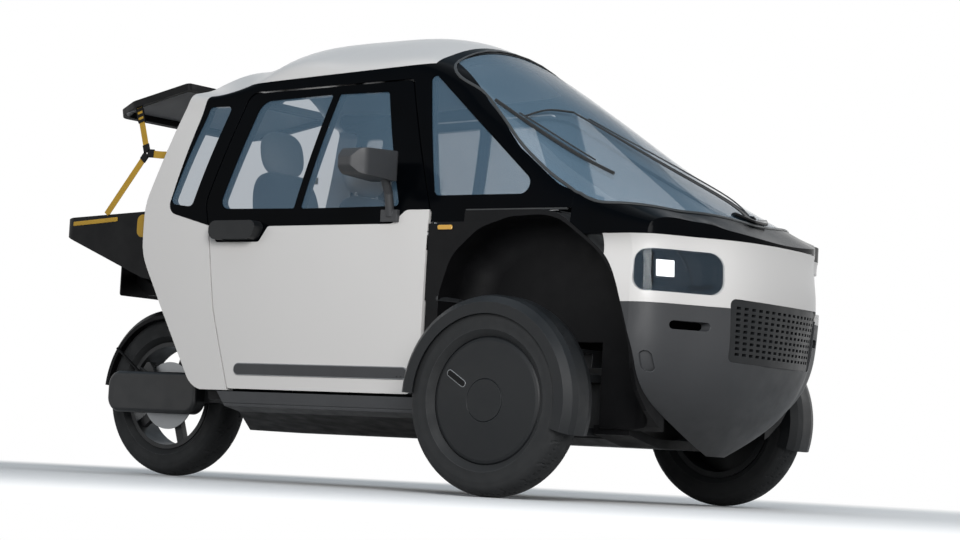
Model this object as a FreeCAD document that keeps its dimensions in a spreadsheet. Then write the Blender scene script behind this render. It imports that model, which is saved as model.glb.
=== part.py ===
import FreeCAD, Part
import math
import os
from FreeCAD import Vector

# Three-wheeled enclosed microcar: two leaning front wheels, one driven rear wheel.
# Row frame: +Z up, the nose points to -Y, +X is the vehicle's left side.
# The origin lies on the floor under the middle of the box round the whole vehicle.
# "Stations" are distances behind the front axle; at(station) turns one into a row Y.

doc = FreeCAD.newDocument("microcar")

# Driving sizes in millimetres, one cell each
SIZES = [
    ("wheelbase", 2000, "front axle to rear axle"),
    ("track", 1450, "between the middles of the front tyres"),
    ("front_axle_y", -861.3, "row Y of the front axle"),
    ("tyre_radius", 305, "outside radius of every tyre"),
    ("front_tyre_width", 130, "front tyre section width"),
    ("rear_tyre_width", 148, "rear tyre section width"),
    ("bead_radius", 204, "radius where tyre and rim meet"),
    ("front_rim_width", 96, "width of a front rim barrel"),
    ("rear_rim_width", 112, "width of the rear rim barrel"),
    ("rim_depth", 16, "radial thickness of a rim barrel"),
    ("cover_dish", 9, "how far a front wheel cover is domed"),
    ("cover_thickness", 5, "wall of a front wheel cover"),
    ("cap_radius", 66, "round cap in the middle of a wheel cover"),
    ("hub_radius", 38, "outside radius of a wheel hub"),
    ("stub_radius", 14, "front stub axle"),
    ("rear_axle_radius", 12, "rear axle"),
    ("running_clearance", 0.05, "radial clearance of a shaft in its bore"),
    ("kingpin_offset", 92, "kingpin inboard of the tyre's middle"),
    ("kingpin_radius", 11, "kingpin"),
    ("arm_low_height", 228, "height of the lower wishbone"),
    ("arm_top_height", 404, "height of the upper wishbone"),
    ("arm_thickness", 26, "thickness of a wishbone"),
    ("arm_root", 262, "wishbone pivots from the middle plane"),
    ("guard_gap", 26, "mudguard inside above the tread"),
    ("guard_thickness", 6, "mudguard wall"),
    ("guard_side", 12, "mudguard inside beside the tyre"),
    ("cab_half_width", 534, "lower cab half width at the sill"),
    ("cab_bulge", 4, "how far the doors bulge beyond the sill"),
    ("belt_half_width", 530, "cab half width at the belt"),
    ("rail_half_width", 440, "cab half width at the roof rail"),
    ("sill_height", 318, "top of the sill, foot of the doors"),
    ("belt_height", 905, "belt line"),
    ("rail_height", 1463, "roof rail, where side and roof meet"),
    ("roof_height", 1622, "highest line of the roof"),
    ("wall", 34, "thickness of doors, pillars and roof"),
    ("panel_gap", 6, "gap round a moving panel"),
    ("seam_gap", 0.3, "gap between two fixed panels"),
    ("glass_thickness", 5, "window glass"),
    ("glass_depth", 3, "glass below the outer skin"),
    ("seat_clearance", 0.3, "clearance of a piece in its seat"),
    ("belly_height", 186, "flat keel of the floor above the ground"),
    ("floor_thickness", 30, "floor pan"),
    ("keel_half", 150, "half width of the flat keel"),
    ("belly_slope", 0.198, "rise of the slanted undertray beside the keel"),
    ("floor_half_width", 452, "floor pan half width"),
    ("floor_end", 1341.7, "rear end of the floor behind the front axle"),
    ("sill_end", 1298, "rear end of the slanted undertray behind the front axle"),
    ("keel_end", 1500, "rear end of the flat keel behind the front axle"),
    ("crossbox_half", 120, "half length of the front crossbox"),
    ("spring_top_x", 300, "top of a front spring from the middle plane"),
    ("spring_top_z", 470, "top of a front spring above the ground"),
    ("bumper_end", -260, "rear end of the bumper behind the front axle"),
    ("port_depth", 8, "depth of the round port in the bumper"),
    ("lens_depth", 4, "lamp lens below the nose skin"),
    ("lamp_depth", 70, "back of the lamp tub below the nose skin"),
    ("board_face", 2218, "rear face of the plate board behind the front axle"),
    ("nose_reach", 635, "nose ahead of the front axle"),
    ("nose_half_width", 548, "nose half width"),
    ("nose_wall", 26, "thickness of bumper and nose band"),
    ("nose_foot", 168, "lowest edge of the bumper"),
    ("band_foot", 640, "seam between bumper and nose band"),
    ("band_top", 857, "seam between nose band and cowl"),
    ("liner_wall", 14, "thickness of a wheel arch liner"),
    ("liner_inner", 330, "inner face of the arch recess from the middle"),
    ("grille_width", 572, "grille"),
    ("grille_height", 202, "grille"),
    ("grille_thickness", 14, "grille"),
    ("grille_bend", 760, "bending radius of the grille"),
    ("grille_lean", 5.5, "degrees the top of the grille leans forwards"),
    ("grille_middle", 566, "middle of the grille above the ground"),
    ("grille_columns", 16, "openings across"),
    ("grille_rows", 9, "openings up"),
    ("hinge_x", 524, "door hinge line from the middle plane"),
    ("hinge_station", 466, "door hinge line behind the front axle"),
    ("hinge_low", 430, "lower door hinge"),
    ("hinge_high", 840, "upper door hinge"),
    ("door_pin_radius", 3.5, "door hinge pins"),
    ("hinge_radius", 9, "flap and tray hinge pins"),
    ("flap_length", 425, "rear flap, hinge to lip"),
    ("flap_half_width", 430, "rear flap"),
    ("flap_thickness", 26, "rear flap"),
    ("flap_droop", 11.3, "degrees the open flap hangs below level"),
    ("tray_half_width", 418, "tail tray at its hinge"),
    ("tray_wall", 10, "tail tray wall"),
    ("cover_length", 452, "drive cover on the swinging arm"),
    ("cover_height", 156, "drive cover on the swinging arm"),
    ("cover_width", 58, "drive cover on the swinging arm"),
    ("disc_radius", 128, "rear brake disc"),
    ("disc_thickness", 5, "rear brake disc"),
    ("battery_length", 480, "battery block"),
    ("battery_width", 296, "battery block"),
    ("battery_height", 150, "battery block"),
    ("seat_width", 400, "seat cushions"),
    ("pivot_station", 1525, "swinging arm pivot behind the front axle"),
    ("pivot_height", 315, "swinging arm pivot above the ground"),
    ("pivot_radius", 12, "swinging arm pivot pin"),
    ("strap_width", 26, "webbing"),
    ("strap_thickness", 2.4, "webbing"),
]

sheet = doc.addObject("Spreadsheet::Sheet", "Sizes")
for row, (alias, value, note) in enumerate(SIZES, start=1):
    sheet.set("A%d" % row, alias)
    sheet.set("B%d" % row, str(value))
    sheet.set("C%d" % row, note)
    sheet.setAlias("B%d" % row, alias)
doc.recompute()


class Size:
    """Reads a driving size from the sheet by its name."""

    def __getattr__(self, alias):
        return float(sheet.get(alias))


D = Size()


def at(station):
    """Row Y of a station behind the front axle."""
    return D.front_axle_y + station


# Wires and prisms

def rounded_wire(points, radii, place):
    """Closed wire through points with tangent arcs; place() maps a pair to a Vector."""
    count = len(points)
    edges = []
    ends = []
    for i in range(count):
        here = Vector(points[i][0], points[i][1], 0)
        before = Vector(points[i - 1][0], points[i - 1][1], 0) - here
        after = Vector(points[(i + 1) % count][0], points[(i + 1) % count][1], 0) - here
        radius = radii[i] if isinstance(radii, (list, tuple)) else radii
        if radius <= 0:
            ends.append((here, None, here))
            continue
        half = before.getAngle(after) / 2
        reach = min(radius / math.tan(half), before.Length * 0.49, after.Length * 0.49)
        radius = reach * math.tan(half)
        start = here + before.normalize() * reach
        end = here + after.normalize() * reach
        middle = (before + after).normalize() * (radius / math.sin(half) - radius) + here
        ends.append((start, middle, end))
    for i in range(count):
        start, middle, end = ends[i]
        if middle is not None:
            arc = Part.Arc(place(start.x, start.y), place(middle.x, middle.y), place(end.x, end.y))
            edges.append(arc.toShape())
        following = ends[(i + 1) % count][0]
        if end.distanceToPoint(following) > 1e-6:
            edges.append(Part.LineSegment(place(end.x, end.y), place(following.x, following.y)).toShape())
    return Part.Wire(edges)


def side_prism(points, radii, x_low, x_high):
    """Prism along X of an outline drawn in (station, height)."""
    wire = rounded_wire(points, radii, lambda s, z: Vector(x_low, at(s), z))
    return Part.Face(wire).extrude(Vector(x_high - x_low, 0, 0))


def plan_prism(points, radii, z_low, z_high):
    """Prism along Z of an outline drawn in (x, station)."""
    wire = rounded_wire(points, radii, lambda x, s: Vector(x, at(s), z_low))
    return Part.Face(wire).extrude(Vector(0, 0, z_high - z_low))


def front_prism(points, radii, s_low, s_high):
    """Prism along Y of an outline drawn in (x, height)."""
    wire = rounded_wire(points, radii, lambda x, z: Vector(x, at(s_low), z))
    return Part.Face(wire).extrude(Vector(0, s_high - s_low, 0))


def grown(points, distance):
    """Outline moved outwards (or inwards) by a distance, corners kept sharp."""
    count = len(points)
    area = sum(points[i - 1][0] * points[i][1] - points[i][0] * points[i - 1][1] for i in range(count))
    turn = 1 if area > 0 else -1
    moved = []
    for i in range(count):
        here = Vector(points[i][0], points[i][1], 0)
        first = (here - Vector(points[i - 1][0], points[i - 1][1], 0)).normalize()
        second = (Vector(points[(i + 1) % count][0], points[(i + 1) % count][1], 0) - here).normalize()
        normal_a = Vector(first.y, -first.x, 0) * turn
        normal_b = Vector(second.y, -second.x, 0) * turn
        shift = (normal_a + normal_b) * (distance / (1 + normal_a.dot(normal_b)))
        moved.append((here.x + shift.x, here.y + shift.y))
    return moved


def box(x_low, x_high, s_low, s_high, z_low, z_high):
    """Upright block between two stations."""
    return Part.makeBox(x_high - x_low, s_high - s_low, z_high - z_low, Vector(x_low, at(s_low), z_low))


def rod(start, end, radius):
    """Round bar from one point to another, points given as (x, station, height)."""
    a = Vector(start[0], at(start[1]), start[2])
    b = Vector(end[0], at(end[1]), end[2])
    return Part.makeCylinder(radius, (b - a).Length, a, b - a)


def lofted(wires):
    """Solid through a row of closed wires, turned the right way out."""
    solid = Part.makeLoft(wires, True, False)
    return solid if solid.Volume > 0 else solid.reversed()


def mirrored(shape):
    """The same shape on the other side of the vehicle."""
    return shape.mirror(Vector(0, 0, 0), Vector(1, 0, 0))


def solids_of(shape):
    """Shape reduced to its solids: one solid, or a compound of them."""
    largest = max(s.Volume for s in shape.Solids)
    found = [s for s in shape.Solids if s.Volume > 0.02 * largest]
    return found[0] if len(found) == 1 else Part.makeCompound(found)


def feature(label, shape):
    """Sub-part whose shape is made from curved skins that no other object type gives."""
    node = doc.addObject("Part::Feature", label)
    node.Label = label
    node.Shape = solids_of(shape)
    NODES.append(node)
    return node


NODES = []

# Cab skin: cross-sections at stations, each with the height of its roof rail or
# windscreen pillar and the height of its middle line
SECTIONS = [
    (1960, -95, -134), (1650, -45, -74), (1250, -14, -28), (950, 0, -4), (720, 0, -7),
    (560, -4, -42), (400, -68, -124), (230, -203, -225), (50, -352, -338),
    (-130, -464, -456), (-300, -530, -560), (-480, -572, -665), (-650, -604, -768),
]


def section_wire(station, rail, crown, inset, foot):
    """One cross-section of the cab skin, moved inwards by inset."""
    corner_z = D.rail_height + rail
    middle_z = D.roof_height + crown
    lean = (D.belt_half_width - D.rail_half_width) / (D.rail_height - D.belt_height)
    corner_x = D.belt_half_width - lean * max(corner_z - D.belt_height, -60)
    belt_z = min(D.belt_height, corner_z - 120)
    rise = middle_z - corner_z
    power = 2.1
    side = Vector(1, 0, lean).normalize()
    slope = power * rise / corner_x
    top = Vector(slope, 0, 1).normalize()
    shift = (side + top) * (-inset / (1 + side.dot(top)))
    corner_x += shift.x
    corner_z += shift.z
    middle_z -= inset
    rise = middle_z - corner_z
    low_x = D.cab_half_width - inset
    belly_x = D.cab_half_width + D.cab_bulge - inset
    belt_x = D.belt_half_width - inset
    along = Vector(corner_x - belt_x, 0, corner_z - belt_z).normalize()
    bevel = (side + top).normalize() * -10.0
    half = [
        Vector(low_x, 0, foot),
        Vector(belly_x, 0, foot + (belt_z - foot) * 0.5),
        Vector(belt_x, 0, belt_z),
        Vector(corner_x, 0, corner_z) - along * 52,
        Vector(corner_x, 0, corner_z) + bevel,
    ]
    for share in (0.82, 0.45, 0.0):
        half.append(Vector(corner_x * share, 0, middle_z - rise * share ** power))
    points = half + [Vector(-p.x, 0, p.z) for p in reversed(half[:-1])]
    points = [Vector(p.x, at(station), p.z) for p in points]
    curve = Part.BSplineCurve()
    curve.interpolate(points)
    floor = Part.LineSegment(points[-1], points[0])
    return Part.Wire([curve.toShape(), floor.toShape()])


def cab_form(inset):
    """Closed form inside the cab skin; the inset ones run past the outer one's ends."""
    wires = []
    foot = D.sill_height - (10 if inset else 0)
    for i, (station, rail, crown) in enumerate(SECTIONS):
        if inset and i == 0:
            station += 20
        if inset and i == len(SECTIONS) - 1:
            station -= 20
        wires.append(section_wire(station, rail, crown, inset, foot))
    return lofted(wires)


outer = cab_form(0)
skin = outer.cut(cab_form(D.wall))
glass_skin = cab_form(D.glass_depth).cut(cab_form(D.glass_depth + D.glass_thickness))

# Outlines in the side view: (station, height)
REAR_EDGE = [(-900, 100), (-900, 1900), (1440, 1900), (1745, 985), (1733, 800), (1458, 316), (1290, 316),
    (1290, 100)]
REAR_RADII = [0, 0, 0, 240, 220, 100, 0, 0]
DARK = [(300, 903), (1430, 903), (1632, 955), (1519, 1412), (532, 1462), (300, 1470)]
DARK_RADII = [0, 30, 40, 60, 0, 0]
DOOR = [(488, 324), (449, 382), (449, 945), (604, 1402), (1322, 1382), (1446, 985), (1418, 880), (1372, 600),
    (1290, 324)]
DOOR_RADII = [30, 60, 90, 26, 50, 90, 200, 300, 12]
BELT = [(300, 946), (546, 946), (602, 899), (1149, 897), (1186, 842), (1386, 842), (1404, 903), (1500, 903),
    (1500, 200), (300, 200)]
BELT_RADII = [0, 30, 30, 14, 14, 14, 10, 0, 0, 0]
PANE_REAR = [(1386, 962), (1040, 958), (942, 1364), (1262, 1352)]
PANE_REAR_RADII = [30, 8, 8, 60]
PANE_FRONT = [(1010, 957), (578, 960), (696, 1364), (912, 1364)]
PANE_FRONT_RADII = [8, 12, 14, 8]
QUARTER = [(1624, 984), (1516, 972), (1404, 1340), (1508, 1340)]
QUARTER_RADII = [22, 22, 14, 20]
TRIANGLE = [(434, 993), (534, 1440), (-6, 993)]
TRIANGLE_RADII = [22, 16, 34]
ARCH = [(438, 80), (438, 940), (-60, 940), (-300, 770), (-388, 480), (-388, 80)]
ARCH_RADII = [0, 120, 230, 300, 250, 0]
CAVE = [(386, 60), (388, 660), (345, 790), (240, 878), (120, 918), (-60, 926), (-290, 765), (-374, 480),
    (-374, 60)]
CAVE_RADII = [0, 120, 150, 150, 200, 230, 300, 250, 0]
# Windscreen seen from above: (x, station)
SCREEN = [(-364, 488), (364, 488), (440, 290), (482, 120), (505, -60), (505, -270), (330, -452), (0, -528),
    (-330, -452), (-505, -270), (-505, -60), (-482, 120), (-440, 290)]
SCREEN_RADII = [36, 36, 200, 200, 200, 120, 160, 400, 160, 120, 200, 200, 200]

WIDE = 700
right_half = box(-WIDE, 0, -1200, 2600, 0, 2000)
rear_limit = side_prism(REAR_EDGE, REAR_RADII, -WIDE, WIDE)
dark_band = side_prism(DARK, DARK_RADII, -WIDE, WIDE)
door_hole = side_prism(grown(DOOR, D.panel_gap), DOOR_RADII, -WIDE, WIDE)
door_hole = door_hole.fuse(box(-WIDE, WIDE, 438, 470, 380, 940))
door_hole = door_hole.fuse(box(-WIDE, WIDE, 488, 1290, 200, 330))
screen_hole = plan_prism(SCREEN, SCREEN_RADII, 700, 1900)
windows = side_prism(QUARTER, QUARTER_RADII, -WIDE, WIDE)
windows = windows.fuse(side_prism(TRIANGLE, TRIANGLE_RADII, -WIDE, WIDE))
arch_hole = side_prism(ARCH, ARCH_RADII, -WIDE, WIDE)


def nose_half_width(height):
    """Half width of the nose at a height: full at the lamps, narrow at the foot."""
    drop = max(0.0, (D.band_foot - height) / 480.0)
    return D.nose_half_width - 430 * drop ** 4


def nose_front(height):
    """Foremost station of the nose at a height."""
    low = max(0.0, (D.band_foot + 60 - height) / 535.0)
    high = max(0.0, (height - D.band_foot - 60) / (D.band_top - D.band_foot - 60))
    return -D.nose_reach + 228 * low ** 3 + 10 * high ** 2


def nose_section(height, inset, setback=0):
    """Plan outline of the nose at a height, closed across the back."""
    half = nose_half_width(height) - inset
    front = nose_front(height) + inset + setback
    shoulder = front + 262 - inset * 0.2
    back = 80 + (60 if inset else 0)
    points = []
    for i in range(-4, 5):
        share = i / 4.0
        reach = abs(share) ** 2.6
        points.append(Vector(half * share, at(front + (shoulder - front) * reach), height))
    curve = Part.BSplineCurve()
    tangent = Vector(0.42, 1, 0)
    curve.interpolate(Points=points, InitialTangent=Vector(0.12, -1, 0) * 400,
        FinalTangent=Vector(0.12, 1, 0) * 400)
    left = Vector(half, at(back), height)
    right = Vector(-half, at(back), height)
    lines = [Part.LineSegment(points[-1], left), Part.LineSegment(left, right),
        Part.LineSegment(right, points[0])]
    return Part.Wire([curve.toShape()] + [line.toShape() for line in lines])


def nose_form(inset, low, high):
    """Solid nose between two heights, moved inwards by inset."""
    inner = [z for z in (190, 220, 262, 318, 400, 500, 600, 720) if low + 12 < z < high - 40]
    return lofted([nose_section(z, inset) for z in [low] + inner + [high]])


nose_solid = nose_form(0, D.nose_foot, D.band_top)
nose_skin = nose_solid.cut(nose_form(D.nose_wall, D.nose_foot + D.nose_wall, D.band_top + 20))

nose_plan = Part.Face(nose_section(D.band_top, 0)).extrude(Vector(0, 0, 900))
nose_core = Part.Face(nose_section(D.band_top, D.nose_wall)).extrude(Vector(0, 0, 900))


def cab_shell():
    """White roof with both rear quarters in one moulding."""
    shell = skin.common(rear_limit)
    shell = shell.cut(box(-WIDE, WIDE, -1200, 532, 0, 2000))
    shell = shell.cut(dark_band)
    shell = shell.cut(door_hole)
    for low in (-76, 61):
        lug = side_prism([(1560, 1499), (1560, 1488), (1630, 1434), (1648, 1436), (1650, 1452),
            (1580, 1499)], 0, low, low + 15)
        shell = shell.fuse(lug.common(box(-WIDE, WIDE, 1560, 1700, 1400, 1900)))
    shell = shell.fuse(rod((-76, 1640, 1444), (76, 1640, 1444), D.hinge_radius))
    feature("roof_shell", shell)


def cab_frame():
    """Black pillars, rails and window surrounds, down to the belt."""
    gap = D.seam_gap
    band = side_prism(grown(DARK, -gap), DARK_RADII, -WIDE, WIDE)
    front = box(-WIDE, WIDE, -120, 532 - gap, 946, 1900)
    frame = skin.common(band.fuse(front))
    frame = frame.cut(door_hole).cut(windows).cut(screen_hole)
    feature("cab_frame", frame)


def cowl():
    """Gloss black panel below the windscreen, over the nose band."""
    gap = D.seam_gap
    zone = box(-WIDE, WIDE, -1200, -120 - gap, D.band_top + gap, 1900)
    panel = outer.common(nose_plan).common(zone)
    panel = panel.cut(cab_form(D.wall).common(nose_core))
    panel = panel.cut(screen_hole)
    panel = panel.cut(side_prism(grown(ARCH, gap), ARCH_RADII, -WIDE, WIDE))
    feature("cowl", panel)


def side_windows():
    """Fixed side glass: one quarter pane and one triangle on each side."""
    c = -D.seat_clearance
    shape = glass_skin.common(side_prism(grown(QUARTER, c), QUARTER_RADII, -WIDE, WIDE))
    shape = shape.fuse(glass_skin.common(side_prism(grown(TRIANGLE, c), TRIANGLE_RADII, -WIDE, WIDE)))
    feature("side_windows", shape)


def windscreen():
    """Deep curved windscreen."""
    pane = plan_prism(grown(SCREEN, -D.seat_clearance), SCREEN_RADII, 700, 1900)
    feature("windscreen", glass_skin.common(pane))


def hinge_bar(low, high, radius):
    """Upright bar on the right door's hinge line."""
    return rod((-D.hinge_x, D.hinge_station, low), (-D.hinge_x, D.hinge_station, high), radius)


def hinge_leaf(height):
    """Fixed half of a door hinge: pin, two lugs and the plate that reaches the arch liner."""
    leaf = hinge_bar(height - 20, height + 20, D.door_pin_radius)
    for low in (height - 20, height + 10.3):
        leaf = leaf.fuse(hinge_bar(low, low + 9.7, 5.5))
        leaf = leaf.fuse(box(-D.hinge_x, -488, D.hinge_station - 4, D.hinge_station + 5, low, low + 9.7))
    return leaf.fuse(box(-498, -488, 430, D.hinge_station + 5, height - 20, height + 20))


def doors():
    """Each door: white lower panel, black window frame with its handle, and glass."""
    blank = skin.common(side_prism(DOOR, DOOR_RADII, -WIDE, -150))
    below = side_prism(BELT, BELT_RADII, -WIDE, 0)
    panes = side_prism(PANE_REAR, PANE_REAR_RADII, -WIDE, 0)
    panes = panes.fuse(side_prism(PANE_FRONT, PANE_FRONT_RADII, -WIDE, 0))
    panel = blank.common(side_prism(grown(BELT, -D.seat_clearance), BELT_RADII, -WIDE, 0))
    frame = blank.cut(below).cut(panes)
    c = -D.seat_clearance
    glass = glass_skin.common(side_prism(grown(PANE_REAR, c), PANE_REAR_RADII, -WIDE, 0))
    glass = glass.fuse(glass_skin.common(side_prism(grown(PANE_FRONT, c), PANE_FRONT_RADII, -WIDE, 0)))
    handle = side_prism([(1384, 848), (1190, 848), (1160, 914), (1384, 914)], 31, -578, -516)
    frame = frame.fuse(handle.cut(box(-575, -545, 1200, 1330, 840, 876)))
    for height in (D.hinge_low, D.hinge_high):
        panel = panel.cut(box(-531.5, -440, 440, 484, height - 32, height + 32))
        barrel = hinge_bar(height - 10, height + 10, 6.5)
        barrel = barrel.fuse(box(-533, -517, D.hinge_station, 486, height - 10, height + 10))
        panel = panel.fuse(barrel.cut(hinge_bar(height - 40, height + 40,
            D.door_pin_radius + D.running_clearance)))
    for side, keep in (("right", lambda s: s), ("left", mirrored)):
        feature("door_%s_panel" % side, keep(solids_of(panel)))
        feature("door_%s_frame" % side, keep(solids_of(frame)))
        feature("door_%s_glass" % side, keep(solids_of(glass)))


def mirrors():
    """Door mirror: tapered housing on a bent arm, open towards the rear for its glass."""
    face = [(-560, 1036), (-560, 1140), (-742, 1132), (-768, 1100), (-768, 1070), (-742, 1044)]
    plan = [(-560, 556), (-560, 662), (-768, 662), (-768, 606), (-728, 566)]
    housing = front_prism(face, [18, 22, 30, 16, 16, 30], 500, 720)
    housing = housing.common(plan_prism(plan, [20, 6, 6, 20, 30], 1000, 1200))
    recess = front_prism(grown(face, -15), [8, 10, 16, 6, 6, 16], 640, 720)
    housing = housing.cut(recess)
    arm = rod((-600, 590, 1050), (-560, 600, 1000), 15).fuse(rod((-560, 600, 1000), (-538, 604, 925), 15))
    arm = arm.fuse(Part.makeSphere(15, Vector(-560, at(600), 1000)))
    foot = box(-546, -528, 572, 640, 905, 945)
    shape = housing.fuse(arm).fuse(foot).cut(outer)
    shape = max(shape.Solids, key=lambda s: s.Volume)
    feature("mirror_right", shape)
    feature("mirror_left", mirrored(shape))


def nose():
    """White band with the lamp openings, and the bumper with its air slots."""
    gap = D.seam_gap
    lamp = lamp_block(0)
    lamps = lamp.fuse(mirrored(lamp))
    notch = grille_block(D.seat_clearance)
    body = nose_skin.cut(side_prism(grown(ARCH, gap), ARCH_RADII, -WIDE, WIDE))
    body = body.cut(box(-WIDE, WIDE, D.bumper_end, 300, 0, 2000)).cut(notch)
    band = body.common(box(-WIDE, WIDE, -1200, 200, D.band_foot + gap / 2, 900))
    feature("nose_band", band.cut(lamps))
    bumper = body.common(box(-WIDE, WIDE, -1200, 200, 0, D.band_foot - gap / 2))
    slot = front_prism([(-470, 560), (-340, 560), (-340, 588), (-470, 588)], 13.9, -900, -200)
    port = side_prism([(-437, 422), (-403, 422), (-403, 488), (-437, 488)], 16.9, -700, -300)
    port = port.common(nose_solid).cut(nose_form(D.port_depth, D.nose_foot + D.nose_wall, D.band_foot))
    bumper = bumper.cut(slot).cut(mirrored(slot)).cut(port)
    feature("bumper", bumper)


def headlamps():
    """Each headlamp: a clear lens over a black tub that holds the square light."""
    low = D.band_foot + 6
    high = D.band_top - 6
    cut = lamp_block(D.seat_clearance)
    lens = nose_form(D.lens_depth, low, high).cut(nose_form(D.lens_depth + 4, low - 4, high + 4))
    front = D.lens_depth + 4 + D.seat_clearance
    tub = nose_form(front, low, high).common(cut).cut(nose_form(D.lamp_depth, low - 4, high + 4))
    space = nose_form(front - 3, low - 2, high + 2).common(lamp_block(6))
    tub = tub.cut(space.cut(nose_form(D.lamp_depth - 8, low - 4, high + 4)))
    light = box(-505, -440, -620, -390, 722, 782).common(nose_form(26, low, high))
    light = light.cut(nose_form(D.lamp_depth - 4, low - 4, high + 4))
    lamp_set = Part.makeCompound([lens.common(cut), tub.fuse(light)])
    feature("headlamps", Part.makeCompound([lamp_set, mirrored(lamp_set)]))


def lamp_block(inset):
    """Prism that cuts one lamp opening: rounded outline in front, rounded end on the side."""
    face = [(-640, 676), (-302, 676), (-302, 812), (-640, 812)]
    end = [(-378, 676), (-378, 812), (-900, 812), (-900, 676)]
    block = front_prism(grown(face, -inset), 46 - inset, -900, -200)
    return block.common(side_prism(grown(end, -inset), 44 - inset, -WIDE, 0))


def grille_block(margin):
    """Bent block that the grille fills, leaned with the nose and narrower at its foot."""
    radius = D.grille_bend
    half = math.asin((D.grille_width / 2 + margin) / radius)
    thick = D.grille_thickness + (60 if margin else 0)
    height = D.grille_height + 2 * margin
    outer_r = radius + (40 if margin else 0)
    ring = Part.makeCylinder(outer_r, height, Vector(0, 0, -height / 2))
    ring = ring.cut(Part.makeCylinder(radius - thick, height + 2, Vector(0, 0, -height / 2 - 1)))
    reach = radius * 2
    wedge = Part.Face(Part.makePolygon([
        Vector(0, 0, -height), Vector(-reach * math.sin(half), -reach * math.cos(half), -height),
        Vector(0, -reach * 2, -height), Vector(reach * math.sin(half), -reach * math.cos(half), -height),
        Vector(0, 0, -height)])).extrude(Vector(0, 0, 2 * height))
    block = ring.common(wedge)
    top = D.grille_width / 2 + margin
    foot = top - 19
    rise = height / 2
    face = [(-top, rise), (top, rise), (foot, -rise), (-foot, -rise)]
    wire = rounded_wire(face, 20, lambda x, z: Vector(x, -reach, z))
    block = block.common(Part.Face(wire).extrude(Vector(0, 2 * reach, 0)))
    block.translate(Vector(0, radius, 0))
    return leaned(block)


def leaned(shape):
    """Grille piece leaned like the nose and put in its place."""
    shape.rotate(Vector(0, 0, 0), Vector(1, 0, 0), D.grille_lean)
    shape.translate(Vector(0, at(nose_front(D.grille_middle) + 1), D.grille_middle))
    return shape


def grille():
    """Perforated grille with rows of slots."""
    pitch_x = (D.grille_width - 44) / D.grille_columns
    pitch_z = (D.grille_height - 36) / D.grille_rows
    holes = []
    for i in range(int(D.grille_columns)):
        for j in range(int(D.grille_rows)):
            x = (i - (D.grille_columns - 1) / 2) * pitch_x * (0.93 + 0.07 * j / D.grille_rows)
            z = (j - (D.grille_rows - 1) / 2) * pitch_z
            corner = Vector(x - pitch_x * 0.28, -60, z - pitch_z * 0.25)
            holes.append(Part.makeBox(pitch_x * 0.56, 260, pitch_z * 0.5, corner))
    feature("grille", grille_block(0).cut(leaned(Part.makeCompound(holes))))


def belly_wedge(lift):
    """Everything above the vehicle's underside: a flat keel and a slanted tray on each side."""
    x = D.keel_half
    z = D.belly_height + lift
    rise = (WIDE - x) * D.belly_slope
    outline = [(-x, z), (x, z), (WIDE, z + rise), (WIDE, 2000), (-WIDE, 2000), (-WIDE, z + rise)]
    return front_prism(outline, 0, -1200, 2600)


def liners():
    """Deep wheel arch liner each side, with a window for the suspension arms."""
    block = side_prism(ARCH, ARCH_RADII, -D.cab_half_width, -D.liner_inner)
    back = D.liner_inner + D.liner_wall
    cave = side_prism(CAVE, CAVE_RADII, -WIDE, -back)
    rim = [e for e in cave.Edges if e.BoundBox.XLength < 0.1 and abs(e.BoundBox.XMax + back) < 0.1
        and e.BoundBox.ZMax > 61]
    cave = cave.makeFillet(90, rim)
    pocket = side_prism(grown(ARCH, -D.liner_wall), ARCH_RADII, D.liner_wall - D.cab_half_width,
        10 - D.liner_inner)
    pocket = pocket.cut(side_prism(grown(CAVE, D.liner_wall), CAVE_RADII, -WIDE, WIDE))
    block = block.cut(cave)
    block = block.cut(pocket).common(belly_wedge(0))
    block = block.cut(box(-WIDE, 0, -150, 150, 100, 520))
    block = block.cut(box(-WIDE, WIDE, -500, 600, 900, 1200).cut(outer))
    block = block.cut(box(-WIDE, -490, 300 - D.seam_gap, 460, 903 - D.seam_gap, 1000))
    beside = [(-WIDE, 100), (-WIDE, 640)]
    beside += [(-nose_half_width(z) + 1, z) for z in (640, 520, 430, 360, 300, 250, 210,
        100 + D.nose_foot / 2)]
    block = block.cut(front_prism(beside, 0, -500, -150))
    for height in (D.hinge_low, D.hinge_high):
        block = block.fuse(hinge_leaf(height))
    feature("arch_liners", block.fuse(mirrored(block)))


def floor_pan():
    """Floor with a flat keel and rising sides, in front of and behind the front crossbox."""
    plate = belly_wedge(0).cut(belly_wedge(D.floor_thickness))
    half = D.liner_inner - D.seat_clearance
    clear = D.seat_clearance
    tail = [(-D.floor_half_width, 1000), (-D.floor_half_width, D.sill_end), (-D.keel_half, D.keel_end),
            (D.keel_half, D.keel_end), (D.floor_half_width, D.sill_end), (D.floor_half_width, 1000)]
    ahead = plate.common(box(-half, half, D.bumper_end + clear, -D.crossbox_half - clear, 0, 400))
    behind = plate.common(box(-half, half, D.crossbox_half + clear, 460, 0, 400))
    wide = D.floor_half_width
    rear = plate.common(box(-wide, wide, 438 + clear, 1010, 0, 400)).fuse(plate.common(plan_prism(tail, 0, 0,
        400)))
    feature("floor_pan", Part.makeCompound([ahead, behind.fuse(rear).removeSplitter()]))


def skirts():
    """Sill below each door, with the slanted undertray that joins it to the floor."""
    inner = D.floor_half_width + D.seat_clearance
    skirt = box(-D.cab_half_width, -inner, 452, D.floor_end, 100, D.sill_height - 4)
    skirt = skirt.common(belly_wedge(0))
    end = [(D.floor_end, 400), (D.floor_end, D.sill_height), (D.sill_end, 262), (D.sill_end, 100),
        (1500, 100), (1500, 400)]
    skirt = skirt.cut(side_prism(end, 0, -WIDE, 0))
    groove = box(-WIDE, -D.cab_half_width + 3, 0, 2000, 270, 274)
    skirt = skirt.cut(groove)
    feature("side_skirts", skirt.fuse(mirrored(skirt)))


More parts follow.
